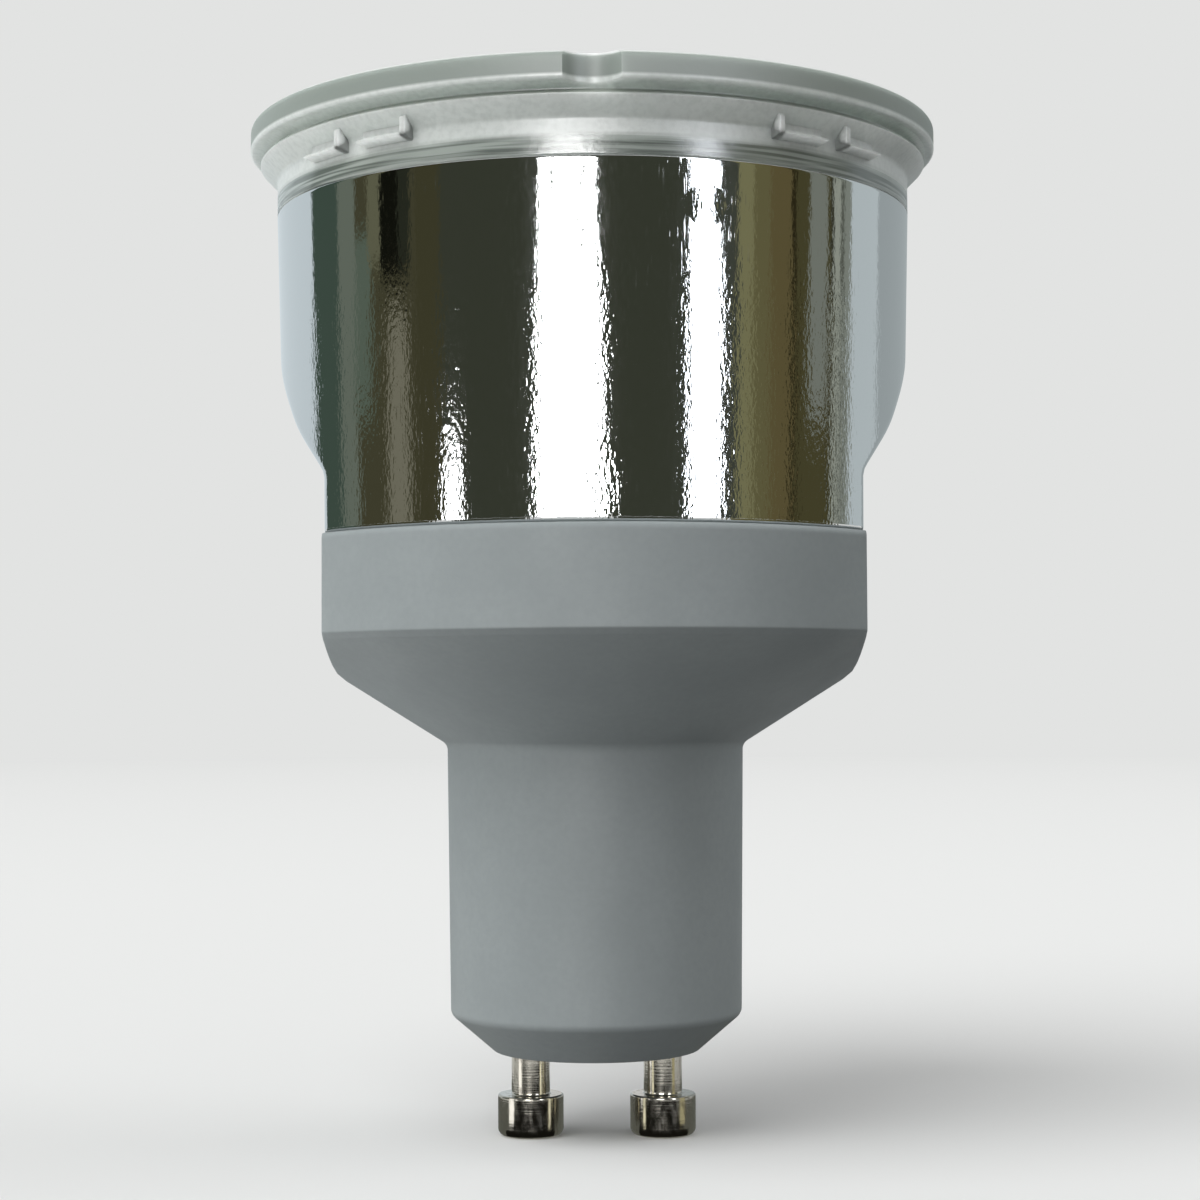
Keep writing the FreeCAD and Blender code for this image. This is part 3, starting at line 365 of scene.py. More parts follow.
def metallised_polycarbonate():
    # Vacuum-metallised plastic: a mirror with a grainy skin, a few small dents and fine handling scratches.
    paints = bpy.context.scene.lamp_colours
    material, tree, where = surface("metallised_polycarbonate", paints.mirror)
    height = add(tree, "SeparateXYZ", {0: where}, out="Z")
    coarse = add(tree, "MapRange", {0: height, 1: 57.0 * MM, 2: 53.0 * MM, 3: 0.3})
    for *place, more in MIRROR_CRAZED:
        crazed = closeness(tree, where, *place)
        coarse = add(tree, "Math", {0: crazed, 1: more, 2: coarse}, operation="MULTIPLY_ADD")
    grain = specks(tree, where, 0.24, 2.0, (1.0, 1.0, 2.2))
    peel = add(tree, "Math", {0: grain, 1: coarse}, operation="MULTIPLY")
    sag = specks(tree, where, 3.5, 2.0, (1.0, 1.0, 2.2))
    wipe = specks(tree, where, 0.16, 2.0, (1.0, 1.0, 14.0))
    wipe = add(tree, "MapRange", {0: wipe, 1: 0.62, 2: 0.72})
    worn = add(tree, "MapRange", {0: specks(tree, where, 9.0, 3.0), 1: 0.5, 2: 0.66})
    scratch = add(tree, "Math", {0: wipe, 1: worn}, operation="MULTIPLY")
    dents = [(closeness(tree, where, *place), depth) for *place, depth in MIRROR_DENTS]
    normal = relief(tree, (peel, 0.011), (sag, 0.012), (scratch, 0.002), *dents)
    dull = add(tree, "MapRange", {0: grain, 1: 0.3, 2: 0.7, 3: 0.03, 4: 0.07})
    dull = add(tree, "Math", {0: scratch, 1: 0.16, 2: dull}, operation="MULTIPLY_ADD")
    return shaded(material, paints.mirror, dull, normal, {"Metallic": 1.0})


def nickel_plate():
    # Nickel-plated brass, turned: warm grey metal with fine rings and darker, rougher streaks along its
    # length.
    paints = bpy.context.scene.lamp_colours
    material, tree, where = surface("nickel_plate", paints.pins)
    rings = specks(tree, where, 0.12, 2.0, (60.0, 60.0, 1.0))
    marks = specks(tree, where, 0.7, 4.0, (0.6, 0.6, 1.6))
    body = tinted(tree, paints.pins, colour("6E675C"), marks, 0.55, 0.68, 0.5)
    rough = add(tree, "MapRange", {0: marks, 1: 0.4, 2: 0.7, 3: 0.1, 4: 0.24})
    normal = relief(tree, (rings, 0.006), (marks, 0.008))
    return shaded(material, body, rough, normal, {"Metallic": 1.0})


def hidden_finish(name, first, second, metallic, roughness, grain, depth):
    """Finish of a part inside the lamp: two close colours in grains, and their relief."""
    material, tree, where = surface(name, colour(first))
    cells = specks(tree, where, grain, 3.0)
    body = tinted(tree, colour(first), colour(second), cells, 0.35, 0.65)
    return shaded(material, body, roughness, relief(tree, (cells, depth)), {"Metallic": metallic})


# Finishes inside: two colours, metallic, roughness, grain and relief in millimetres, and their parts.
HIDDEN_FINISHES = (
    # White polyester, moulded: slightly glossy.
    ("white_polyester", "E9E8E2", "E1E0DA", 0.0, 0.4, 0.4, 0.004, ("tube_holder", "fusible_resistor")),
    # Powder-coated glass: chalky white behind a smooth wall.
    ("coated_glass", "F4F3EE", "ECEBE6", 0.0, 0.18, 1.2, 0.003, ("discharge_tube",)),
    # Nickel-iron wire, drawn: dull grey metal.
    ("drawn_wire", "B9B6AE", "A8A59D", 1.0, 0.35, 0.2, 0.004, ("left_tube_leads", "right_tube_leads")),
    # Paper laminate, pressed: brown-yellow board with fibres.
    ("paper_laminate", "B48A4C", "A27A3F", 0.0, 0.5, 0.5, 0.006, ("circuit_board",)),
    # Ferrite, sintered: dark grey and grainy.
    ("sintered_ferrite", "35353A", "29292D", 0.0, 0.62, 0.15, 0.01,
     ("choke_core", "drive_ring", "filter_inductor")),
    # Black polyamide, moulded: soft sheen.
    ("black_polyamide", "232324", "1B1B1C", 0.0, 0.5, 0.3, 0.005, ("choke_bobbin",)),
    # Enamelled copper wire, wound: orange-brown and glossy, turns show as fine lines.
    ("enamelled_copper", "A4552A", "8A4220", 1.0, 0.3, 0.25, 0.05, ("choke_winding", "ring_coils")),
    # Shrunk vinyl sleeve: dark blue with a soft gloss.
    ("vinyl_sleeve", "26304A", "202941", 0.0, 0.3, 1.5, 0.01, ("smoothing_capacitor",)),
    # Black epoxy, moulded: matt and even.
    ("moulded_epoxy", "1E1E1F", "262627", 0.0, 0.6, 0.2, 0.006,
     ("left_transistor", "right_transistor", "rectifier_diodes")),
    # Epoxy dip: red-brown, glossy, slightly lumpy.
    ("epoxy_dip", "8C3A22", "7E3320", 0.0, 0.25, 1.2, 0.03, ("resonance_capacitor", "starting_capacitor")),
    # Lacquered resistor body: beige and smooth.
    ("beige_lacquer", "CDB78F", "C2AB82", 0.0, 0.35, 0.8, 0.008, ("resistors",)),
    # Wire cover of soft vinyl: white and slightly glossy.
    ("white_vinyl", "E4E2DC", "DAD8D2", 0.0, 0.4, 0.6, 0.005, ("left_pin_wire", "right_pin_wire")),
)


def section_rows(points, closed=False, longest=LONGEST_ROW):
    """Rows (radius, height, inset) along a section with rounded corners and a row beside each rounding.

    Each point is (radius, height, rounding, inset), where inset is how far it lies inside the skin's flats.
    The last two are left out where they are nought.
    """
    rows = []
    count = len(points)
    for i, point in enumerate(points):
        radius, height, rounding, inset = (*point, 0.0, 0.0)[:4]
        here = Vector((radius, height))
        if not closed and i in (0, count - 1):
            rows.append((radius, height, inset))
            continue
        back = Vector(points[i - 1][:2]) - here
        ahead = Vector(points[(i + 1) % count][:2]) - here
        room = ROUNDING_SHARE * min(back.length, ahead.length)
        back.normalize()
        ahead.normalize()
        half = back.angle(ahead) / 2.0
        reach = min(max(rounding, SHARP) / math.tan(half), room)
        curve = reach * math.tan(half)
        centre = here + (back + ahead).normalized() * (curve / math.sin(half))
        start = here + back * reach - centre
        end = here + ahead * reach - centre
        turn = start.angle(end)
        steps = ARC_STEPS if rounding > 0.0 else SHARP_STEPS
        beside = reach + min(SUPPORT, room)
        bits = [here + back * beside]
        for step in range(steps + 1):
            part = step / steps
            arm = start * math.sin((1.0 - part) * turn) + end * math.sin(part * turn)
            bits.append(centre + arm / math.sin(turn))
        bits.append(here + ahead * beside)
        rows += [(bit.x, bit.y, inset) for bit in bits]
    filled = []
    last = len(rows) if closed else len(rows) - 1
    for i in range(last):
        first = rows[i]
        second = rows[(i + 1) % len(rows)]
        filled.append(first)
        pieces = math.ceil(math.hypot(second[0] - first[0], second[1] - first[1]) / longest)
        for k in range(1, pieces):
            filled.append(tuple(a + (b - a) * k / pieces for a, b in zip(first, second)))
    return filled if closed else filled + [rows[-1]]


def flatted_angles(edge):
    """Angles of a full turn, closest together at the edges of the two side flats."""
    edge = max(edge, math.radians(SMALLEST_EDGE))
    offsets = [math.radians(a) for a in EDGE_OFFSETS]
    low = edge - offsets[-1]
    high = edge + offsets[-1]
    quarter = [low * i / FLAT_COLUMNS for i in range(FLAT_COLUMNS)]
    quarter += [edge - a for a in reversed(offsets)] + [edge] + [edge + a for a in offsets]
    quarter += [high + (math.pi / 2.0 - high) * i / ROUND_COLUMNS for i in range(1, ROUND_COLUMNS)]
    half = quarter + [math.pi / 2.0] + [math.pi - a for a in reversed(quarter[1:])]
    return half + [a + math.pi for a in half]


def smooth_min(a, b, blend):
    """Smaller of two lengths, with a soft change from one to the other."""
    share = min(max(0.5 + 0.5 * (b - a) / blend, 0.0), 1.0)
    return b + (a - b) * share - blend * share * (1.0 - share)


def flatted(limit_at, blend_at):
    """Rules for a shell cut by two side flats: its angles and its radius at a row."""
    def angles(row):
        limit = limit_at(row[1]) - row[2]
        ratio = min(limit / max(row[0], limit), 1.0)
        return flatted_angles(math.acos(ratio))

    def radius(row, angle):
        limit = limit_at(row[1]) - row[2]
        across = abs(math.cos(angle))
        if across * row[0] < 0.5 * limit:
            return row[0]
        return smooth_min(row[0], limit / across, blend_at(row[1]))

    return angles, radius


def carried(rows, rules, closed=False, centre=0.0):
    """Closed mesh from a section carried round an upright axis at x = centre."""
    angles_at, radius_at = rules
    shape = bmesh.new()
    rings = []
    for row in rows:
        if row[0] < SAME_POINT:
            rings.append([shape.verts.new((centre, 0.0, row[1]))])
            continue
        ring = []
        for angle in angles_at(row):
            reach = radius_at(row, angle)
            place = (centre + reach * math.cos(angle), reach * math.sin(angle), row[1])
            ring.append(shape.verts.new(place))
        rings.append(ring)
    pairs = list(zip(rings, rings[1:]))
    if closed:
        pairs.append((rings[-1], rings[0]))
    for low, high in pairs:
        for j in range(max(len(low), len(high))):
            k = j + 1
            corners = [low[j % len(low)], low[k % len(low)], high[k % len(high)], high[j % len(high)]]
            shape.faces.new(list(dict.fromkeys(corners)))
    bmesh.ops.remove_doubles(shape, verts=shape.verts, dist=SAME_POINT)
    return shape


def piece(name, shape, material, slot, *nodes):
    """Puts a shape into the scene as a piece that stands for CAD nodes."""
    mesh = bpy.data.meshes.new(name)
    for face in shape.faces:
        face.smooth = True
    shape.to_mesh(mesh)
    shape.free()
    mesh.materials.append(material)
    made = bpy.data.objects.new(name, mesh)
    bpy.context.scene.collection.objects.link(made)
    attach(made, "root")
    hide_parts(*nodes)
    return made


class LAMP_OT_base(bpy.types.Operator):
    """Moulded base: end face, bevel, neck, cone and collar with two flats, open at the top"""
    bl_idname = "lamp.base"
    bl_label = "Base"

    def execute(self, context):
        s = context.scene.lamp_sizes
        collar = BASE_HIGH[1]
        flat = BASE_HIGH[0]
        top = BASE_HIGH[2]
        slope = (s.cone_top_radius - s.neck_high_radius) / (s.cone_top - s.neck_top)
        lift = s.base_wall * math.sqrt(1.0 + slope * slope) / slope
        neck = s.neck_low_radius - s.base_wall
        bevel = (s.neck_low_radius - s.face_radius) * (s.bevel_height - s.base_wall) / s.bevel_height
        ledge = collar - s.base_wall - s.ledge_width
        inset = s.base_wall + s.ledge_width
        points = [
            (0.0, 0.0),
            (s.face_radius, 0.0, s.face_round),
            (s.neck_low_radius, s.bevel_height, s.neck_round),
            (s.neck_high_radius, s.neck_top, s.neck_round),
            (s.cone_top_radius, s.cone_top),
            (collar, s.cone_top + s.collar_edge, s.collar_edge / 2.0),
            (collar, top, s.collar_edge),
            (collar - s.base_wall, top, 0.0, s.base_wall),
            (collar - s.base_wall, s.ledge_top, 0.0, s.base_wall),
            (ledge, s.ledge_top, 0.0, inset),
            (ledge, s.neck_top + (ledge - s.neck_high_radius) / slope + lift, 0.0, inset),
            (neck, s.neck_top + (neck - s.neck_high_radius) / slope + lift, 0.0, inset),
            (neck, s.end_wall + s.bevel_height - s.base_wall, 0.0, inset),
            (neck - bevel, s.end_wall, 0.0, inset),
            (0.0, s.end_wall, 0.0, inset),
        ]
        rules = flatted(lambda height: flat, lambda height: s.collar_corner)
        shape = carried(section_rows(points), rules)
        piece("moulded_base", shape, satin_polyester(), "base_plastic", "base_housing")
        return {"FINISHED"}


class LAMP_OT_mirror(bpy.types.Operator):
    """Mirrored housing: round at front and back, flat at both sides, with a slope up to the round wall"""
    bl_idname = "lamp.mirror"
    bl_label = "Mirrored housing"

    def execute(self, context):
        s = context.scene.lamp_sizes
        low = BASE_HIGH[2]
        top = s.mirror_top
        high_radius = COVER_HIGH[1] - s.rim_out - s.flare_out
        low_slope = (s.scoop_knee_width - s.mirror_flat) / (s.scoop_knee - s.scoop_start)
        high_slope = (s.scoop_reach - s.scoop_knee_width) / (s.scoop_end - s.scoop_knee)

        def limit_at(height):
            over = height - s.scoop_knee
            wide = smooth_min(over * low_slope, over * high_slope, s.scoop_knee_blend) + s.scoop_knee_width
            return -smooth_min(-s.mirror_flat, -wide, s.scoop_blend)

        def blend_at(height):
            share = min(max((height - s.scoop_start) / (s.scoop_end - s.scoop_start), 0.0), 1.0)
            return s.crease_blend + (s.shoulder_blend - s.crease_blend) * share

        wall = s.mirror_wall
        spigot = BASE_HIGH[1] - s.base_wall - s.clearance
        spigot_inset = s.mirror_flat - (BASE_HIGH[0] - s.base_wall - s.clearance)
        inner_inset = spigot_inset + s.spigot_wall
        ledge = low + s.plate_ledge_rise
        lip = high_radius - s.skirt_wall - s.clearance
        points = [
            (s.mirror_low_radius, low, s.mirror_edge),
            (high_radius, top),
            (lip, top),
            (lip, MIRROR_HIGH[2]),
            (lip - s.lip_wall, MIRROR_HIGH[2]),
            (lip - s.lip_wall, top - s.lip_root + s.lip_wall),
            (high_radius - wall, top - s.lip_root, 0.0, wall),
            (s.mirror_low_radius - wall, ledge, 0.0, wall),
            (spigot - s.spigot_wall, ledge, 0.0, inner_inset),
            (spigot - s.spigot_wall, MIRROR_LOW[2], 0.0, inner_inset),
            (spigot, MIRROR_LOW[2], 0.0, spigot_inset),
            (spigot, low, 0.0, spigot_inset),
        ]
        rows = section_rows(points, closed=True, longest=MIRROR_ROW)
        shape = carried(rows, flatted(limit_at, blend_at), closed=True)
        piece("mirrored_housing", shape, metallised_polycarbonate(), "metallised_plastic", "mirror_housing")
        return {"FINISHED"}


class LAMP_OT_cover(bpy.types.Operator):
    """Frosted cover: lens, rim with a gate scallop, groove, flare and skirt"""
    bl_idname = "lamp.cover"
    bl_label = "Front cover"

    def execute(self, context):
        s = context.scene.lamp_sizes
        rim = COVER_HIGH[1]
        top = COVER_HIGH[2]
        flare = rim - s.rim_out
        skirt = flare - s.flare_out
        bore = skirt - s.skirt_wall
        rim_low = top - s.rim_height
        lens = top - s.lens_sink
        lens_edge = rim - s.rim_land
        points = [
            (0.0, lens + s.lens_crown - s.cover_roof),
            (bore, lens - s.cover_roof),
            (bore, s.mirror_top),
            (skirt, s.mirror_top),
            (skirt, s.flare_bottom, s.flare_cove),
            (flare, s.flare_top, s.flare_edge),
            (s.groove_radius, s.flare_top + s.groove_low_side),
            (flare, rim_low),
            (rim, rim_low, s.rim_under_round),
            (rim, top, s.rim_round),
            (lens_edge, top, s.lens_edge),
            (lens_edge - s.lens_sink, lens),
            (0.0, lens + s.lens_crown),
        ]
        front = -math.pi / 2.0
        away = rim - s.gate_depth + s.gate_radius
        gate = math.acos((rim ** 2 + away ** 2 - s.gate_radius ** 2) / (2.0 * rim * away))
        near = [gate * k / GATE_COLUMNS for k in range(-2 * GATE_COLUMNS, 2 * GATE_COLUMNS + 1)]
        near += [side * (gate + math.radians(d)) for side in (-1.0, 1.0) for d in GATE_OFFSETS]
        rest = (2.0 * math.pi - 4.0 * gate) / COVER_COLUMNS
        around = [2.0 * gate + rest * k for k in range(1, COVER_COLUMNS)]
        angles = [front + a for a in sorted(near) + around]

        def radius_at(row, angle):
            ahead = -away * math.sin(angle)
            inside = ahead ** 2 - away ** 2 + s.gate_radius ** 2
            if row[1] < rim_low - s.rim_under_round or ahead < 0.0 or inside <= 0.0:
                return row[0]
            return min(row[0], ahead - math.sqrt(inside))

        shape = carried(section_rows(points), ((lambda row: angles), radius_at))
        piece("frosted_cover", shape, frosted_polycarbonate(), "cover_plastic", "front_cover")
        return {"FINISHED"}


class LAMP_OT_lugs(bpy.types.Operator):
    """Catch lugs on the skirt: two pairs at the front and two at the back"""
    bl_idname = "lamp.lugs"
    bl_label = "Catch lugs"

    def execute(self, context):
        s = context.scene.lamp_sizes
        skirt = COVER_HIGH[1] - s.rim_out - s.flare_out
        reach = skirt + s.lug_reach
        root = skirt - s.lug_root
        valley = skirt + s.lug_valley
        foot = [(root, s.lug_bottom), (skirt, s.lug_bottom), (reach, s.lug_lip - s.lug_edge)]
        lip = foot + [
            (reach, s.lug_lip),
            (valley, s.lug_lip + s.lug_lip_fall),
            (valley, s.lug_top),
            (root, s.lug_top),
        ]
        end = foot + [
            (reach, s.lug_top - s.lug_end_chamfer),
            (reach - s.lug_end_chamfer, s.lug_top),
            (root, s.lug_top),
        ]
        shape = bmesh.new()
        for face, width, columns in ((lip, s.lug_width, LUG_COLUMNS), (end, s.lug_end_width, 2)):
            rings = []
            for k in range(columns + 1):
                angle = width * k / columns - s.lug_width / 2.0
                x = math.cos(angle)
                y = math.sin(angle)
                rings.append([shape.verts.new((r * x, r * y, z)) for r, z in face])
            for first, second in zip(rings, rings[1:]):
                for j in range(len(face)):
                    m = (j + 1) % len(face)
                    shape.faces.new((first[j], second[j], second[m], first[m]))
            shape.faces.new(rings[0])
            shape.faces.new(list(reversed(rings[-1])))
        bmesh.ops.recalc_face_normals(shape, faces=shape.faces)
        least = math.radians(LUG_BEVEL_FROM)
        rims = [e for e in shape.edges if len(e.link_faces) == 2 and e.calc_face_angle() > least]
        bmesh.ops.bevel(shape, geom=rims, offset=LUG_BEVEL, segments=2, profile=0.5, affect="EDGES")
        mesh = bpy.data.meshes.new("catch_lug")
        shape.to_mesh(mesh)
        lug = bpy.data.objects.new("catch_lug", mesh)
        context.scene.collection.objects.link(lug)
        set_lugs(lug, s.lug_pair_centre, s.lug_pair_spread)
        copies = bpy.data.meshes.new_from_object(lug.evaluated_get(context.evaluated_depsgraph_get()))
        bpy.data.objects.remove(lug)
        shape.clear()
        shape.from_mesh(copies)
        # Half of the copies are mirrored, so their faces point inwards until this.
        bmesh.ops.recalc_face_normals(shape, faces=shape.faces)
        material = bpy.data.materials["frosted_polycarbonate"]
        made = piece("catch_lugs", shape, material, "cover_plastic", "front_cover")
        made.data.set_sharp_from_angle(angle=math.radians(LUG_SHARP_FROM))
        return {"FINISHED"}


def set_lugs(lug, centre, spread):
    """Geometry Nodes that copy one lug to the eight places round the skirt."""
    tree = bpy.data.node_groups.new("Catch lug places", "GeometryNodeTree")
    sockets = tree.interface
    sockets.new_socket("Geometry", in_out="OUTPUT", socket_type="NodeSocketGeometry")
    sockets.new_socket("Lug", in_out="INPUT", socket_type="NodeSocketGeometry")
    wanted = {"Pair centre": centre, "Pair spread": spread, "Front": -math.pi / 2.0}
    named = {}
    for label in wanted:
        socket = sockets.new_socket(label, in_out="INPUT", socket_type="NodeSocketFloat")
        socket.subtype = "ANGLE"
        named[label] = socket.identifier
    given = add(tree, "Input", family="NodeGroup").node.outputs
    index = add(tree, "InputIndex", family="GeometryNode")
    half_turn = add(tree, "Math", {0: index, 1: LUG_COUNT / 2.0}, operation="DIVIDE")
    half_turn = add(tree, "Math", {0: half_turn}, operation="FLOOR")
    side = add(tree, "Math", {0: index, 1: LUG_COUNT / 2.0}, operation="MODULO")
    side = add(tree, "Math", {0: side, 1: 2.0}, operation="DIVIDE")
    side = add(tree, "Math", {0: side}, operation="FLOOR")
    side = add(tree, "Math", {0: side, 1: 2.0, 2: -1.0}, operation="MULTIPLY_ADD")
    twin = add(tree, "Math", {0: index, 1: 2.0}, operation="MODULO")
    twin = add(tree, "Math", {0: twin, 1: -0.5}, operation="ADD")
    angle = given["Front"]
    for share, step in ((half_turn, math.pi), (side, given["Pair centre"]), (twin, given["Pair spread"])):
        angle = add(tree, "Math", {0: share, 1: step, 2: angle}, operation="MULTIPLY_ADD")
    turned = add(tree, "CombineXYZ", {"Z": angle})
    handed = add(tree, "CombineXYZ", {"X": 1.0, "Y": side, "Z": 1.0})
    points = add(tree, "Points", {"Count": LUG_COUNT}, family="GeometryNode")
    placing = {"Points": points, "Instance": given["Lug"], "Rotation": turned, "Scale": handed}
    copies = add(tree, "InstanceOnPoints", placing, family="GeometryNode")
    solid = add(tree, "RealizeInstances", {0: copies}, family="GeometryNode")
    add(tree, "Output", {0: solid}, family="NodeGroup")
    modifier = lug.modifiers.new("Catch lug places", "NODES")
    modifier.node_group = tree
    for label, value in wanted.items():
        modifier[named[label]] = value


class LAMP_OT_pins(bpy.types.Operator):
    """Two headed contact pins, riveted over inside the base"""
    bl_idname = "lamp.pins"
    bl_label = "Contact pins"

    def execute(self, context):
        s = context.scene.lamp_sizes
        head = (PIN_HIGH[0] - PIN_LOW[0]) / 2.0
        centre = (PIN_HIGH[0] + PIN_LOW[0]) / 2.0
        low = PIN_LOW[2]
        top = PIN_HIGH[2]
        rivet = top - s.pin_rivet_height
        bore_end = top - s.pin_bore_depth
        points = [
            (0.0, low),
            (head, low, s.pin_head_round),
            (head, -s.pin_shank_length, s.pin_edge),
            (s.pin_shank_radius, -s.pin_shank_length),
            (s.pin_shank_radius, rivet),
            (s.pin_rivet_radius, rivet),
            (s.pin_rivet_radius, top, s.pin_edge),
            (s.pin_bore_radius, top),
            (s.pin_bore_radius, bore_end),
            (0.0, bore_end),
        ]
        rows = section_rows(points, longest=PIN_ROW)
        around = [2.0 * math.pi * i / PIN_COLUMNS for i in range(PIN_COLUMNS)]
        rules = (lambda row: around), (lambda row, angle: row[0])
        material = nickel_plate()
        for name, side in (("left_pin", -1.0), ("right_pin", 1.0)):
            shape = carried(rows, rules, centre=side * centre)
            piece(name + "_turned", shape, material, "pin_metal", name)
        return {"FINISHED"}


class LAMP_OT_inside(bpy.types.Operator):
    """Finishes for the tube, its holder, the board and the parts on it"""
    bl_idname = "lamp.inside"
    bl_label = "Parts inside"

    def execute(self, context):
        for *finish, parts in HIDDEN_FINISHES:
            made = hidden_finish(*finish)
            for part in parts:
                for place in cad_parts[part].material_slots:
                    place.material = made
        return {"FINISHED"}


def plain_mesh(name, points, faces, material):
    """Object from plain points and faces, as part of the studio."""
    mesh = bpy.data.meshes.new(name)
    mesh.from_pydata(points, [], faces)
    mesh.materials.append(material)
    made = bpy.data.objects.new(name, mesh)
    bpy.context.scene.collection.objects.link(made)
    return made


def seen(tree):
    """1 for what the camera sees, directly, in a mirror or through glass."""
    path = add(tree, "LightPath").node.outputs
    sight = path["Is Camera Ray"]
    for kind in ("Is Glossy Ray", "Is Transmission Ray"):
        sight = add(tree, "Math", {0: sight, 1: path[kind]}, operation="MAXIMUM")
    return sight


# The studio in metres: half the floor's width, where it starts to fade into the backdrop and is gone, between
# which places across it the bounced light falls off, and how near a pin's end touches it. The camera's sensor
# is in millimetres.
FLOOR_HALF = 3.0
FLOOR_FADE = (0.25, 1.2)
BOUNCE_FADE = (-0.05, 0.03)
TOUCHING = 0.05 * MM
SENSOR_WIDTH = 36.0


def floor_paint(shade, backdrop):
    """Matt pale floor that fades into the backdrop and bounces more light at the left than at the right.

    It is clear from below, also for what the pins' ends mirror where they touch it.
    """
    material, tree = blank("matt_floor")
    where = add(tree, "TexCoord", out="Object")
    away = add(tree, "VectorMath", {0: where}, out="Value", operation="LENGTH")
    fade = add(tree, "MapRange", {0: away, 1: FLOOR_FADE[0], 2: FLOOR_FADE[1]})
    pale = add(tree, "BsdfDiffuse", {"Color": shade})
    far = add(tree, "Emission", {"Color": backdrop})
    pale = add(tree, "MixShader", {0: fade, 1: pale, 2: far})
    across = add(tree, "SeparateXYZ", {0: where})
    bounce = tinted(tree, colour("E4E4E4"), colour("585858"), across, *BOUNCE_FADE)
    dim = add(tree, "BsdfDiffuse", {"Color": bounce})
    top = add(tree, "MixShader", {0: seen(tree), 1: dim, 2: pale})
    path = add(tree, "LightPath").node.outputs
    under = add(tree, "NewGeometry", out="Backfacing")
    under = add(tree, "Math", {0: under, 1: path["Is Camera Ray"]}, operation="MULTIPLY")
    close = add(tree, "Math", {0: path["Ray Length"], 1: TOUCHING}, operation="LESS_THAN")
    close = add(tree, "Math", {0: close, 1: path["Is Glossy Ray"]}, operation="MULTIPLY")
    clear = add(tree, "Math", {0: under, 1: close}, operation="MAXIMUM")
    nothing = add(tree, "BsdfTransparent")
    whole = add(tree, "MixShader", {0: clear, 1: top, 2: nothing})
    add(tree, "OutputMaterial", {"Surface": whole})
    return material


CARDS = (
    # Azimuths of a card's two edges, in degrees from behind the camera to the right, and its tone. Then, if
    # they aren't as usual, its strength, its foot and top heights in metres, and the azimuths at its top.
    # Later cards stand nearer.
    ("side_left", -178, -118, "D8E2E7"),
    ("green_grey", -118, -101, "46554B"),
    ("grey_left", -101, -92, "6F776B", 1.0, 0.0, 0.5, -101, -90),
    ("brown_left", -92, -64, "4A4835", 1.0, 0.0, 0.5, -90),
    ("olive_left", -64, -54, "45432F"),
    ("dark_left", -54, 33, "3E4136"),
    ("dark_right", 33, 51, "43463D"),
    ("gold_edge", 51, 57, "827F5C"),
    ("gold", 57, 64, "6B6646"),
    ("gold_dark", 64, 74, "655B3C"),
    ("brown_right", 74, 93, "4E4A30"),
    ("grey_right", 93, 103, "8A8F86"),
    ("side_right", 103, 122, "C7D0D3"),
    ("far_right", 122, 178, "A8B0B2"),
    ("moss", -93, -84, "5F6B5E", 1.0, 0.095, 0.15, -91),
    ("brown_slit", -85, -78, "6A6A54", 1.0, 0.14, 0.5, -85, -77),
    ("slit_left", -79, -67, "14150F", 1.0, 0.134),
    ("slit_edge", -71, -66, "2C2F25", 1.0, 0.138),
    ("pale_left", -78, -67, "7E7B6A", 1.0, 0.0, 0.122, -76, -68),
    ("window_low", -54, -47, "FFFFFF", 5.0, 0.0, 0.078, -52, -48),
    ("window_foot", -19.5, 3, "FFFFFF", 12.0, 0.0, 0.119, -18.5, 2),
    ("window", -18.5, 2, "FFFFFF", 12.0, 0.119, 0.26, -16, -2.5),
    ("notch", -20, -15, "50534B", 1.0, 0.172, 0.189, -20, -13),
    ("slit_1", -14.6, -13.2, "8E918C", 1.0, 0.14, 0.5, -14.4, -13.0),
    ("slit_2", -9.4, -8.2, "8E918C", 1.0, 0.15, 0.5, -9.2, -8.0),
    ("slit_3", -4.2, -2.8, "8E918C", 1.0, 0.128),
    ("tube", 33.5, 44.5, "F4F8FF", 7.0),
    ("bar_gold", 73, 75, "2E2918"),
    ("grey_streak", 81, 90, "80847B", 1.0, 0.09),
    ("thin_dark", 91.5, 93, "3A3A2E"),
    ("thin_pale", 93.5, 96.5, "A0A498"),
    ("thin_dark_2", 97, 98.5, "5A5D54"),
)
CARD_GAP = 0.002
CARD_TOP = 0.5

NEAR_CARDS = (
    # What the pins mirror from close by: corners in millimetres across, away from the camera and over the
    # floor, tone and strength.
    # The first sheet is painted shade: a grey sheet that the pins mirror in place of the pale floor round
    # them, standing for that floor darkened by the lamp's own shadow.
    ("near_floor", ((-32, -30, 0.1), (32, -30, 0.1), (24, 24, 0.1), (-24, 24, 0.1)), "6E706A"),
    ("near_dark", ((-30, -28, 0.15), (30, -28, 0.15), (9, -1.5, 0.15), (-9, -1.5, 0.15)), "1C1B17"),
    ("glint_left",
     ((-12.1, -2.8, 0.2), (-10.9, -4.8, 0.2), (-10.9, -4.8, 6.3), (-12.1, -2.8, 6.3)), "FFFFFF", 2.0),
    ("glint_middle",
     ((-1.1, -3.2, 0.2), (1.1, -3.2, 0.2), (1.1, -3.2, 6.3), (-1.1, -3.2, 6.3)), "F4F0D8", 1.6),
    ("glint_right",
     ((12.1, -2.8, 0.2), (10.9, -4.8, 0.2), (10.9, -4.8, 6.3), (12.1, -2.8, 6.3)), "C9C3A0"),
)

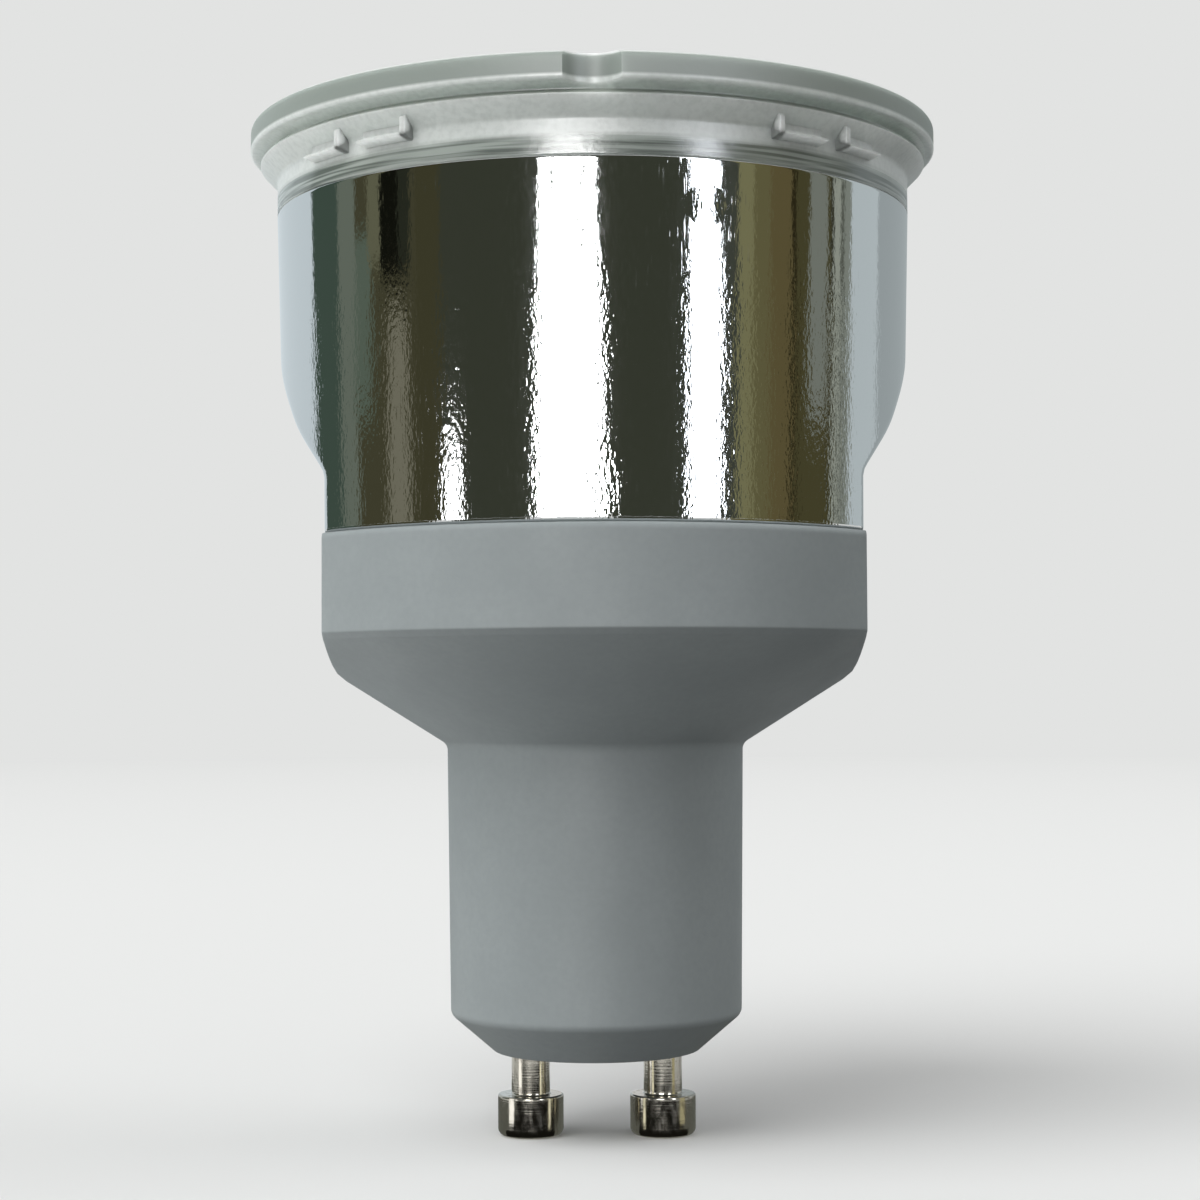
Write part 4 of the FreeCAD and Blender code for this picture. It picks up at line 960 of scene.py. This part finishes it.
# Tones that lie on the floor for mirrors alone, so that the housing shows streaks from above too: azimuths of
# a tone's two sides as for the cards, and its colour. The pale floor shows between them.
FLOOR_TONES = (
    (-176, -138, "7E878B"),
    (-120, -92, "46554B"),
    (-92, -56, "45432F"),
    (-48, -22, "3E4136"),
    (6, 32, "43463D"),
    (46, 64, "6B6646"),
    (64, 94, "4E4A30"),
    (124, 146, "50575A"),
    (156, 172, "8E979B"),
)
# How far out the tones start and how high they lie, in metres, and the degrees in one step of a card.
TONES_FROM = 0.062
TONE_HEIGHT = 0.3 * MM
CARD_STEP = 5

LAMPS = (
    # Soft lamps: azimuth as for the cards, height and width in degrees, and level.
    ("key", -42.0, 51.0, 50.0, 0.64),
    ("left", -74.0, 1.0, 40.0, 0.36),
    ("right", 96.0, 28.0, 40.0, 0.18),
)


def strip(lower, upper):
    """Points and faces between two arcs, each given by its azimuths, its distance and its height."""
    steps = max(2, int((lower[1] - lower[0]) / CARD_STEP))
    points = []
    for k in range(steps + 1):
        for left, right, away, height in (lower, upper):
            bearing = math.radians(left + (right - left) * k / steps)
            points.append((away * math.sin(bearing), -away * math.cos(bearing), height))
    return points, [(2 * k, 2 * k + 2, 2 * k + 3, 2 * k + 1) for k in range(steps)]


def card(name, shape, code, strength=1.0):
    """Evenly lit card, hidden from everything but mirrors."""
    material, tree = blank(name)
    glow = add(tree, "Emission", {"Color": colour(code), "Strength": strength})
    add(tree, "OutputMaterial", {"Surface": glow})
    made = plain_mesh(name, *shape, material)
    made.visible_camera = False
    made.visible_diffuse = False
    made.visible_transmission = False
    made.visible_shadow = False


def set_camera(scene, studio):
    """Camera in front of the lamp, at the studio's distance and height."""
    eye = bpy.data.cameras.new("camera")
    eye.sensor_fit = "HORIZONTAL"
    eye.sensor_width = SENSOR_WIDTH
    eye.lens = SENSOR_WIDTH * studio.focal_share
    eye.clip_start = 0.01
    eye.clip_end = 20.0
    camera = bpy.data.objects.new("camera", eye)
    place = Matrix.Translation((0.0, -studio.camera_distance, studio.camera_height))
    for angle, axis in ((-studio.yaw, "Z"), (math.pi / 2.0 + studio.pitch, "X"), (studio.roll, "Z")):
        place = place @ Matrix.Rotation(angle, 4, axis)
    camera.matrix_world = place
    scene.collection.objects.link(camera)
    scene.camera = camera


class LAMP_OT_studio(bpy.types.Operator):
    """Floor, background, soft lamps, the cards that the mirror shows, and the camera"""
    bl_idname = "lamp.studio"
    bl_label = "Studio"

    def execute(self, context):
        scene = context.scene
        studio = scene.lamp_studio
        paints = scene.lamp_colours
        low = PIN_LOW[2]
        corners = [(x * FLOOR_HALF, y * FLOOR_HALF, low) for x, y in ((-1, -1), (1, -1), (1, 1), (-1, 1))]
        plain_mesh("floor", corners, [(0, 1, 2, 3)], floor_paint(paints.floor, paints.backdrop))
        for number, (name, left, right, code, *more) in enumerate(CARDS):
            usual = (1.0, 0.0, CARD_TOP, left, right)
            strength, foot, top, top_left, top_right = (*more, *usual[len(more):])
            away = studio.card_distance - CARD_GAP * number
            shape = strip((left, right, away, foot), (top_left, top_right, away, top))
            card("card_" + name, shape, code, strength)
        for left, right, code in FLOOR_TONES:
            height = low + TONE_HEIGHT
            shape = strip((left, right, TONES_FROM, height), (left, right, studio.card_distance, height))
            card("floor_tone_%d" % (left % 360), shape, code)
        for name, corners, *tone in NEAR_CARDS:
            points = [(x * MM, y * MM, low + z * MM) for x, y, z in corners]
            card("card_" + name, (points, [(0, 1, 2, 3)]), *tone)
        for name, azimuth, height, spread, level in LAMPS:
            light = bpy.data.lights.new(name, "SUN")
            light.angle = math.radians(spread)
            light.energy = level * math.pi
            lamp = bpy.data.objects.new(name, light)
            lamp.rotation_euler = (math.radians(90.0 - height), 0.0, math.radians(azimuth))
            lamp.visible_glossy = False
            scene.collection.objects.link(lamp)
        scene.world = bpy.data.worlds.new("studio")
        scene.world.use_nodes = True
        tree = scene.world.node_tree
        tree.nodes.clear()
        around = (studio.ambient, studio.ambient, studio.ambient, 1.0)
        shade = tinted(tree, around, paints.backdrop, seen(tree))
        add(tree, "OutputWorld", {"Surface": add(tree, "Background", {"Color": shade})})
        set_camera(scene, studio)
        scene.view_settings.view_transform = "Standard"
        return {"FINISHED"}


class LAMP_PT_panel(bpy.types.Panel):
    """Sizes, colours and the steps that make the lamp"""
    bl_idname = "LAMP_PT_panel"
    bl_label = "Reflector Lamp"
    bl_space_type = "VIEW_3D"
    bl_region_type = "UI"
    bl_category = "Reflector Lamp"

    def draw(self, context):
        for operator in OPERATORS:
            self.layout.operator(operator.bl_idname)
        for group in (context.scene.lamp_sizes, context.scene.lamp_colours, context.scene.lamp_studio):
            box = self.layout.box()
            for name in group.__annotations__:
                box.prop(group, name)


OPERATORS = (
    LAMP_OT_base, LAMP_OT_mirror, LAMP_OT_cover, LAMP_OT_lugs, LAMP_OT_pins, LAMP_OT_inside, LAMP_OT_studio)
GROUPS = (LampSizes, LampColours, StudioSizes)


def register():
    for group in GROUPS + OPERATORS + (LAMP_PT_panel,):
        bpy.utils.register_class(group)
    bpy.types.Scene.lamp_sizes = bpy.props.PointerProperty(type=LampSizes)
    bpy.types.Scene.lamp_colours = bpy.props.PointerProperty(type=LampColours)
    bpy.types.Scene.lamp_studio = bpy.props.PointerProperty(type=StudioSizes)


def unregister():
    for name in ("lamp_studio", "lamp_colours", "lamp_sizes"):
        delattr(bpy.types.Scene, name)
    for group in reversed(GROUPS + OPERATORS + (LAMP_PT_panel,)):
        bpy.utils.unregister_class(group)


def main():
    register()
    bpy.ops.lamp.base()
    bpy.ops.lamp.mirror()
    bpy.ops.lamp.cover()
    bpy.ops.lamp.lugs()
    bpy.ops.lamp.pins()
    bpy.ops.lamp.inside()
    bpy.ops.lamp.studio()


if __name__ == "__main__":
    main()
